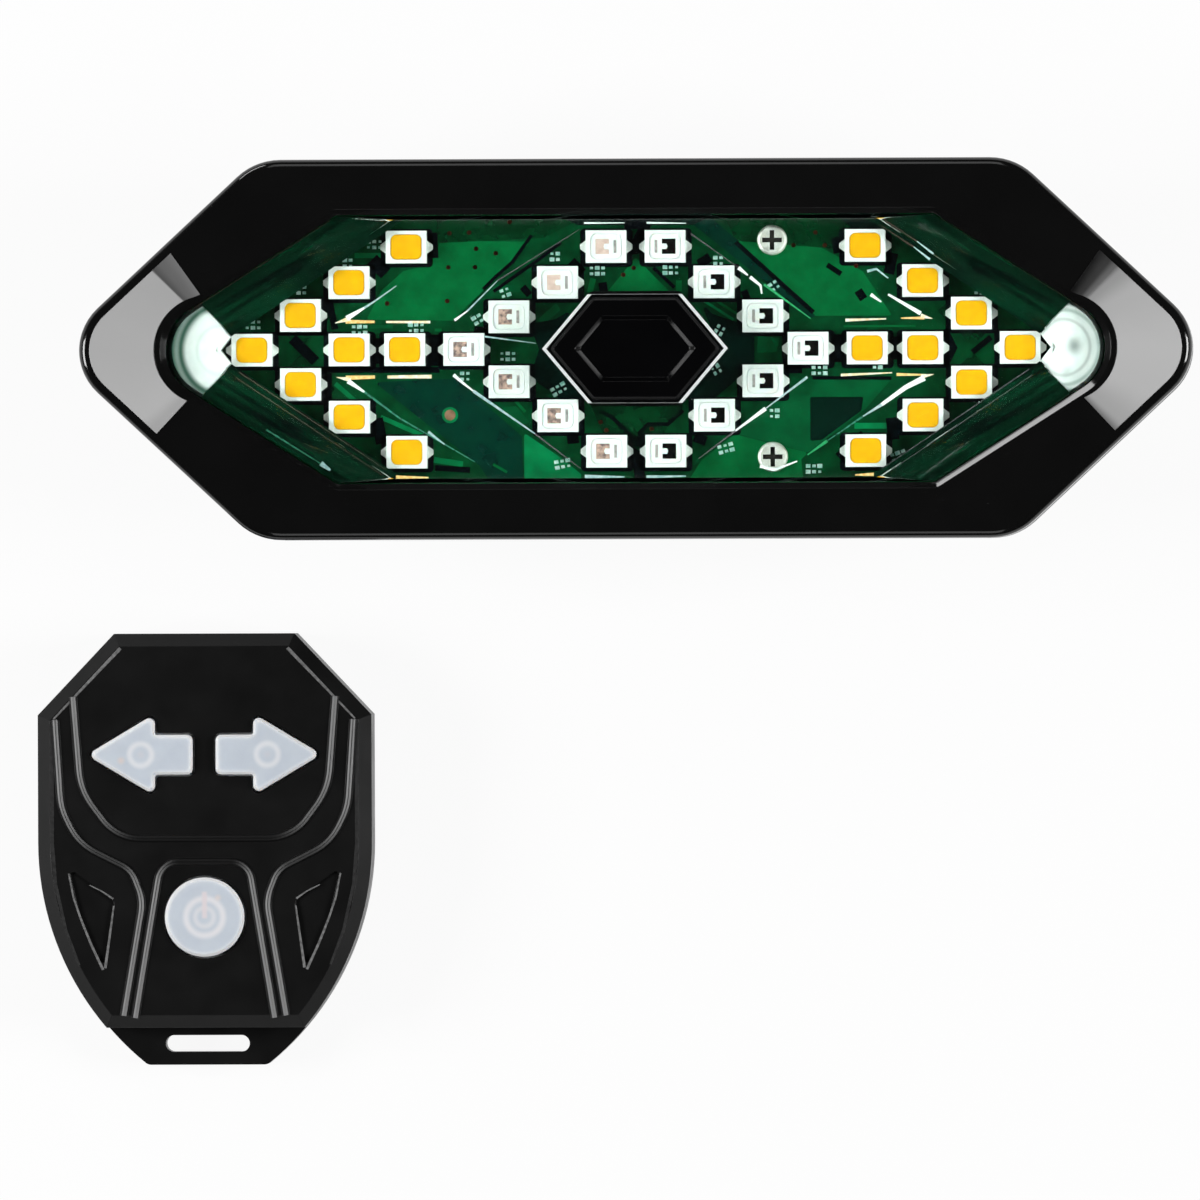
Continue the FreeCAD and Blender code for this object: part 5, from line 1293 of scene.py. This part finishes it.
        # Painted shade: every ring is darker than the guide's white
        if side > 0:
            arc = (tip + 0.4, y)
            rings = (Ring(arc, 2.1, 0.25, "#5E6663", 0.35), Ring(arc, 2.9, 0.3, "#5E8A7E", 0.5),
                     Ring(arc, 3.5, 0.3, "#2E6E5E", 0.7),
                     Ring((tip + 1.1, y + 0.1), 0.0, 1.1, "#6A7270", 0.75),
                     Ring((tip + 0.4, y - 1.9), 0.0, 0.8, "#B9C0BE", 0.5))
        else:
            rings = (Ring((tip + 1.0, y), 3.6, 0.6, "#0C5A44", 0.95),
                     Ring((tip + 1.0, y), 4.4, 0.9, "#0C5A44", 0.95),
                     Ring((tip + 0.6, y), 1.7, 0.3, "#DDE4E2", 0.7))
        name = "opal_guide_" + ("right" if side > 0 else "left")
        return MilkyPlastic(name, "#FDFEFE", "#F0F4F3", rings, cloud_mm=1.2)

    def screw_finish(self) -> Finish:
        """Nickel plate with a brushed head: warm white, broad highlights, dirt and painted shade in
        its slots.
        """
        low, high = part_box("board_screws")
        x = middle_of("board_screws")[0]
        radius = (high.x - low.x) / 2 / MM
        return SlottedHeads("nickel_plated_board_screws", "#FFFDFA", "#F0EAE2", 0.55, drift=0.2,
                            edge_mm=0.05, grain=(0.12, 0.002), slot_reach=radius,
                            axes=((x, low.y / MM + radius), (x, high.y / MM - radius)),
                            slot_level=high.z / MM - self.slot_depth)

    def make(self) -> None:
        """Dress the board's solids, then add what is printed, etched and soldered."""
        super().make()
        dress("board_screws", self.screw_finish())
        dress("tip_light_guide_left", self.guide_finish(-1))
        dress("tip_light_guide_right", self.guide_finish(1))
        self.make_copper()
        self.make_print()
        self.make_lead_frames()


@dataclass
class PowerButton(Dressed):
    """Six-sided button of the lamp, with the switch under it."""

    finishes: dict[str, Finish] = field(default_factory=lambda: {
        "power_button": MouldedPlastic("gloss_black_abs_button", "#040405", "#060607", 0.12,
                                       Mould.MIRROR, 0.05),
        "power_switch_body": MouldedPlastic("black_nylon_switch", "#17181A", "#1E1F21", 0.45),
        "power_switch_plunger": MouldedPlastic("red_nylon_plunger", "#8E1F18", "#7A1812", 0.4),
    })


@dataclass
class LampInside(Dressed):
    """Cell, leads and parts under the board, with the charging socket and its cover."""

    finishes: dict[str, Finish] = field(default_factory=lambda: {
        "battery_cell": PlatedMetal("aluminium_laminate_pouch", "#C4C8CC", "#AEB3B8", 0.42,
                                    (1.2, 0.004)),
        "battery_foam": MouldedRubber("black_cell_foam", "#141414", "#202020", (0.5, 0.02)),
        "battery_lead_red": MouldedRubber("red_pvc_lead", "#A31612", "#8C100D"),
        "battery_lead_black": MouldedRubber("black_pvc_lead", "#101010", "#181818"),
        "control_chip": MouldedPlastic("black_epoxy_package", "#1B1C1E", "#232426", 0.55),
        "radio_module": PlatedMetal("tinned_radio_shield", "#B9BCBD", "#A2A6A8", 0.35),
        "board_components": MouldedPlastic("brown_ceramic_parts", "#6B4A33", "#57391F", 0.5),
        "charging_socket": PlatedMetal("stainless_socket_shell", "#A8ABAE", "#96999C", 0.25),
        "charging_port_cover": MouldedRubber("black_rubber_port_cover", "#131314", "#1D1D1E"),
    })


@dataclass
class Bracket(Dressed):
    """Seat post bracket behind the lamp: pad, channel, bayonet disc, screw and ring."""

    finishes: dict[str, Finish] = field(default_factory=lambda: {
        "saddle_pad": MouldedRubber("black_rubber_pad", "#151516", "#202021"),
        "bracket_base": MouldedPlastic("black_nylon_bracket", "#17171A", "#1E1E20", 0.5),
        "bayonet_disc": MouldedPlastic("black_acetal_disc", "#121214", "#18181A", 0.35),
        "bayonet_screw": PlatedMetal("zinc_plated_bayonet_screw", "#7C7E82", "#606368", 0.3),
        "friction_ring": MouldedRubber("black_rubber_ring", "#0F0F10", "#1A1A1A"),
    })


@dataclass
class Remote(Dressed):
    """Handlebar remote: finely textured shells, milky keys, and what lies inside."""

    switch_x: float = 5.5
    crest_depth: float = 0.09       # of the raised lines' crests, which get a painted highlight
    line_height: float = 0.28       # of the raised lines over the face
    painted_line_thickness: float = 0.02
    # Painted highlights along edges, from the middle of the thick body's lower edge: shoulder,
    # recess
    painted_highlights: Runs = (
        (0.3, 0.5, 7.25, 32.95, 10.3, 29.75, 13.1, 26.8),
        (0.14, 1.6, 11.8, 13.4, 11.4, 11.35, 10.8, 9.55, 9.9, 7.3, 8.85, 5.05),
        (0.24, 0.6, 8.65, 5.2, 8.25, 8.05, 7.9, 10.6),
        (0.16, 0.5, 7.95, 11.2, 8.9, 11.85, 10, 12.4),
    )
    # Painted sheen along the outer edges of the sides
    painted_sheens: Runs = ((0.4, 0.5, 13.25, 26.4, 13.25, 16, 12.95, 12.45, 12.05, 8.45, 10.9, 5.45),)
    edge_highlight_finish: Finish = InkAndPaintedLight("painted_edge_highlight", "#8A8A8A", "#626262", 0.85, 0.45)
    edge_sheen_finish: Finish = InkAndPaintedLight("painted_edge_sheen", "#3C3C3C", "#2C2C2C", 0.7, 0.45)
    finishes: dict[str, Finish] = field(default_factory=lambda: {
        "remote_bottom_shell": MouldedPlastic("black_abs_lower_shell", "#0F0F0F", "#131313",
                                              0.36, Mould.FINE, 0.15, gloss=0.2),
        "remote_gasket": MouldedRubber("black_silicone_gasket", "#0E0E0F", "#181818"),
        "remote_screws": PlatedMetal("zinc_plated_remote_screws", "#76787C", "#5C5F64", 0.32),
        "remote_board": SolderMask("remote_green_mask", "#0B5A2E", "#084A26"),
        "remote_switch_bodies": PlatedMetal("tinned_switch_cover", "#C3C5C6", "#AAADAF", 0.3),
        "remote_board_parts": MouldedPlastic("remote_black_epoxy", "#1A1B1D", "#232426", 0.5),
        "remote_indicator_light": CastResin("remote_indicator_resin", "#E8A58C", "#D98C72"),
        "coin_cell": PlatedMetal("nickel_plated_coin_cell", "#C9CACB", "#B4B6B8", 0.28,
                                 (0.4, 0.004)),
        **{"cell_contact_" + place: PlatedMetal(f"bronze_{place}_contact", "#C8A468", "#B08C52",
                                                0.3) for place in ("side", "top")},
        **{key + "_key_plunger": MouldedPlastic(key + "_red_plunger", "#8E1F18", "#7A1812", 0.4)
           for key in ("left", "right", "power")},
        "cell_door": MouldedPlastic("black_abs_cell_door", "#161617", "#1B1B1C", 0.5,
                                    Mould.SPARK),
        "cell_door_seal": MouldedRubber("black_silicone_door_seal", "#0E0E0F", "#181818"),
    })

    def dress_key(self, node: str, rings: tuple[Ring, ...],
                  bar: tuple[Point, Point] | None = None) -> None:
        """Dress a key in translucent silicone over a white board.

        It is cool grey, with a painted highlight at its edges, and what lies under it shows as
        rings and a bar.

        Args:
            node: The key.
            rings: What shows under it.
            bar: Middle and half sizes of the bar in mm.
        """
        dress(node, MilkyPlastic("silicone_" + node, "#CFD7E0", "#CAD2DC", rings, bar,
                                 rim_highlight_radius=0.9, scatter_mm=0.4))

    def make(self) -> None:
        """Dress each solid, then the keys with the rings of what lies under them."""
        super().make()
        top = top_of("remote_top_shell")
        # Painted highlight on the crests of the raised lines that run along the sides
        dress("remote_top_shell",
              CrestHighlightPlastic("black_abs_fine_texture", "#0F0F0F", "#131313", 0.36, Mould.FINE,
                               0.1, gloss=0.2, crest=top - self.crest_depth))
        middle = middle_of("remote_top_shell")[0]
        foot = (middle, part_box("remote_top_shell")[0].y / MM)
        face = top - self.line_height
        # Painted highlights and sheen, as thin plates on the face along its edges
        for name, runs, finish in (("painted_highlights", self.painted_highlights, self.edge_highlight_finish),
                                   ("painted_sheens", self.painted_sheens, self.edge_sheen_finish)):
            lines = [plate(mirrored(ribbon(run), side), face, face + self.painted_line_thickness)
                     for run in runs for side in (-1, 1)]
            add_piece("remote_edges_" + name, lines, finish, "remote", foot)
        for node, side in (("left_arrow_key", -1), ("right_arrow_key", 1)):
            x, y = middle + side * self.switch_x, middle_of(node)[1]
            rings = (Ring((x, y), 0.95, 0.45, "#F2F2F4", 0.6),
                     Ring((x, y), 0.0, 0.5, "#D6D6DC", 0.5))
            if side < 0:
                rings += (Ring((x - 1.7, y - 0.5), 0.0, 0.5, "#E8D4CA", 0.6),)
            self.dress_key(node, rings)
        x, y = middle_of("power_key")
        rings = (Ring((x, y), 1.6, 0.5, "#F0EEF0", 0.75), Ring((x, y), 0.8, 0.4, "#EAE9EC", 0.6),
                 Ring((x + 1.16, y + 1.67), 0.0, 0.45, "#E8DCD8", 0.7))
        self.dress_key("power_key", rings, ((x, y + 1.05), (0.12, 1.05)))


# Studio


@dataclass(frozen=True)
class WhiteFloor(Finish):
    """White paper floor: even white to the eye, under the object's real shadow.

    From below it is clear, so that the object's back can be seen.
    """

    glow: float = 0.92

    def surface(self, tree: Tree) -> Socket:
        """Diffuse white, mixed with even white where it is seen, also in gloss and glass."""
        paper = add_node(tree, "BsdfDiffuse", {"Color": srgb("#F6F6F6")})
        glow = add_node(tree, "Emission", {"Color": srgb("#FFFFFF"), "Strength": 1.0})
        rays = add_node(tree, "LightPath").node.outputs
        seen = rays["Is Camera Ray"]
        for kind in ("Is Glossy Ray", "Is Transmission Ray"):
            seen = add_node(tree, "Math", (seen, rays[kind]), operation="MAXIMUM")
        share = add_node(tree, "Math", (seen, self.glow), operation="MULTIPLY")
        above = add_node(tree, "MixShader", (share, paper, glow))
        below = add_node(tree, "NewGeometry", out="Backfacing")
        return add_node(tree, "MixShader", (below, above, add_node(tree, "BsdfTransparent")))


@dataclass(frozen=True)
class SoftLamp:
    """A soft box: its place, size, power and what it is turned to, in metres and watts."""

    name: str
    place: tuple[float, float, float]
    size: Point
    watts: float
    aim: tuple[float, float, float] = (0.0, 0.0, 0.02)


@dataclass
class Studio:
    """Floor, sky, soft boxes and the camera."""

    floor_half: float = 3.0         # metres
    floor_gap: float = 0.02
    picture_width: float = 103.59   # what the picture shows at the lamp's face
    camera_metres: float = 2.5
    lean_deg: float = 1.5           # the camera stands this far off the vertical, towards +X
    roll_deg: float = 0.2
    target: tuple[float, float, float] = (-1.0, 1.12, 22.0)
    sensor: float = 36.0
    horizon: float = 0.35
    zenith: float = 0.012
    fade_heights: Point = (0.05, 0.4)
    side_shares: Point = (0.55, 0.95)
    lamps: tuple[SoftLamp, ...] = (
        SoftLamp("soft_box_left", (-0.728, 0.0, 0.529), (0.34, 0.34), 5.6),
        SoftLamp("soft_box_right", (0.728, 0.0, 0.529), (0.34, 0.34), 5.6),
        SoftLamp("soft_box_far", (0.0, 0.62, 0.66), (0.3, 0.4), 0.45),
        SoftLamp("soft_box_near", (0.0, -0.62, 0.66), (0.3, 0.4), 0.45),
        SoftLamp("strip_far_left", (-0.368, 0.659, 0.27), (0.3, 0.12), 1.0,
                 (0.033, 0.0145, 0.026)),
    )

    def make_world(self) -> None:
        """Dark sky, light only near the horizon on both sides: fades over the ray's X and Z.

        The eye sees it white, and gloss and glass see the white ground go on below the horizon.
        """
        world = bpy.data.worlds.new("studio_sky")
        bpy.context.scene.world = world
        world.use_nodes = True
        tree = world.node_tree
        tree.nodes.clear()
        ray = add_node(tree, "TexCoord", out="Generated")
        x, _, z = add_node(tree, "SeparateXYZ", (ray,)).node.outputs
        across = add_node(tree, "Math", (x,), operation="ABSOLUTE")
        sides = add_node(tree, "MapRange",
                         (across, *self.side_shares, self.zenith, self.horizon))
        level = add_node(tree, "MapRange", (z, *self.fade_heights, sides, self.zenith),
                         interpolation_type="SMOOTHSTEP")
        rays = add_node(tree, "LightPath").node.outputs
        either = add_node(tree, "Math", (rays["Is Glossy Ray"], rays["Is Transmission Ray"]),
                          operation="MAXIMUM")
        below = add_node(tree, "Math", (z, 0.0), operation="LESS_THAN")
        ground = add_node(tree, "Math", (either, below), operation="MULTIPLY")
        for white in (rays["Is Camera Ray"], ground):
            level = add_node(tree, "Math", (level, white), operation="MAXIMUM")
        sky = add_node(tree, "Background", {"Color": srgb("#FFFFFF"), "Strength": level})
        add_node(tree, "OutputWorld", {"Surface": sky})

    def make_lamps(self) -> None:
        """Area lamps, each turned to what it lights."""
        for lamp in self.lamps:
            light = bpy.data.lights.new(lamp.name, "AREA")
            light.shape = "RECTANGLE"
            light.size, light.size_y = lamp.size
            light.energy = lamp.watts
            holder = add_object(lamp.name, light)
            holder.location = lamp.place
            way = Vector(lamp.aim) - Vector(lamp.place)
            holder.rotation_euler = way.to_track_quat("-Z", "Y").to_euler()

    def make_floor(self) -> None:
        """A wide white square just under the object."""
        half = self.floor_half
        mesh = bpy.data.meshes.new("paper_floor")
        mesh.from_pydata([(-half, -half, 0), (half, -half, 0), (half, half, 0),
                          (-half, half, 0)], [], [(0, 1, 2, 3)])
        mesh.materials.append(WhiteFloor("white_paper_floor").material())
        floor = add_object("paper_floor", mesh)
        floor.location.z = CAD_BOX[0].z - self.floor_gap * MM

    def make_camera(self) -> None:
        """Long lens straight above, leaning a little, with +Y up in the picture."""
        data = bpy.data.cameras.new("camera")
        data.sensor_width = self.sensor
        data.lens = self.sensor * self.camera_metres / (self.picture_width * MM)
        data.clip_start, data.clip_end = 0.05, 20.0
        camera = add_object("camera", data)
        lean, roll = math.radians(self.lean_deg), math.radians(self.roll_deg)
        away = Vector((math.sin(lean), 0.0, math.cos(lean)))
        camera.location = Vector(self.target) * MM + away * self.camera_metres
        turn = Matrix.Rotation(lean, 3, "Y") @ Matrix.Rotation(-roll, 3, "Z")
        camera.rotation_euler = turn.to_euler()
        bpy.context.scene.camera = camera

    def make(self) -> None:
        """Set up the studio."""
        bpy.context.scene.view_settings.view_transform = "Standard"
        self.make_world()
        self.make_lamps()
        self.make_floor()
        self.make_camera()


def main() -> None:
    """Build every sub-assembly in order."""
    logging.basicConfig(level=logging.INFO, format="%(name)s %(message)s")
    for part in (Studio(), LampCasing(), LampLens(), CircuitBoard(), PowerButton(),
                 LampInside(), Bracket(), Remote()):
        log.info("making %s", type(part).__name__)
        part.make()


if __name__ == "__main__":
    main()
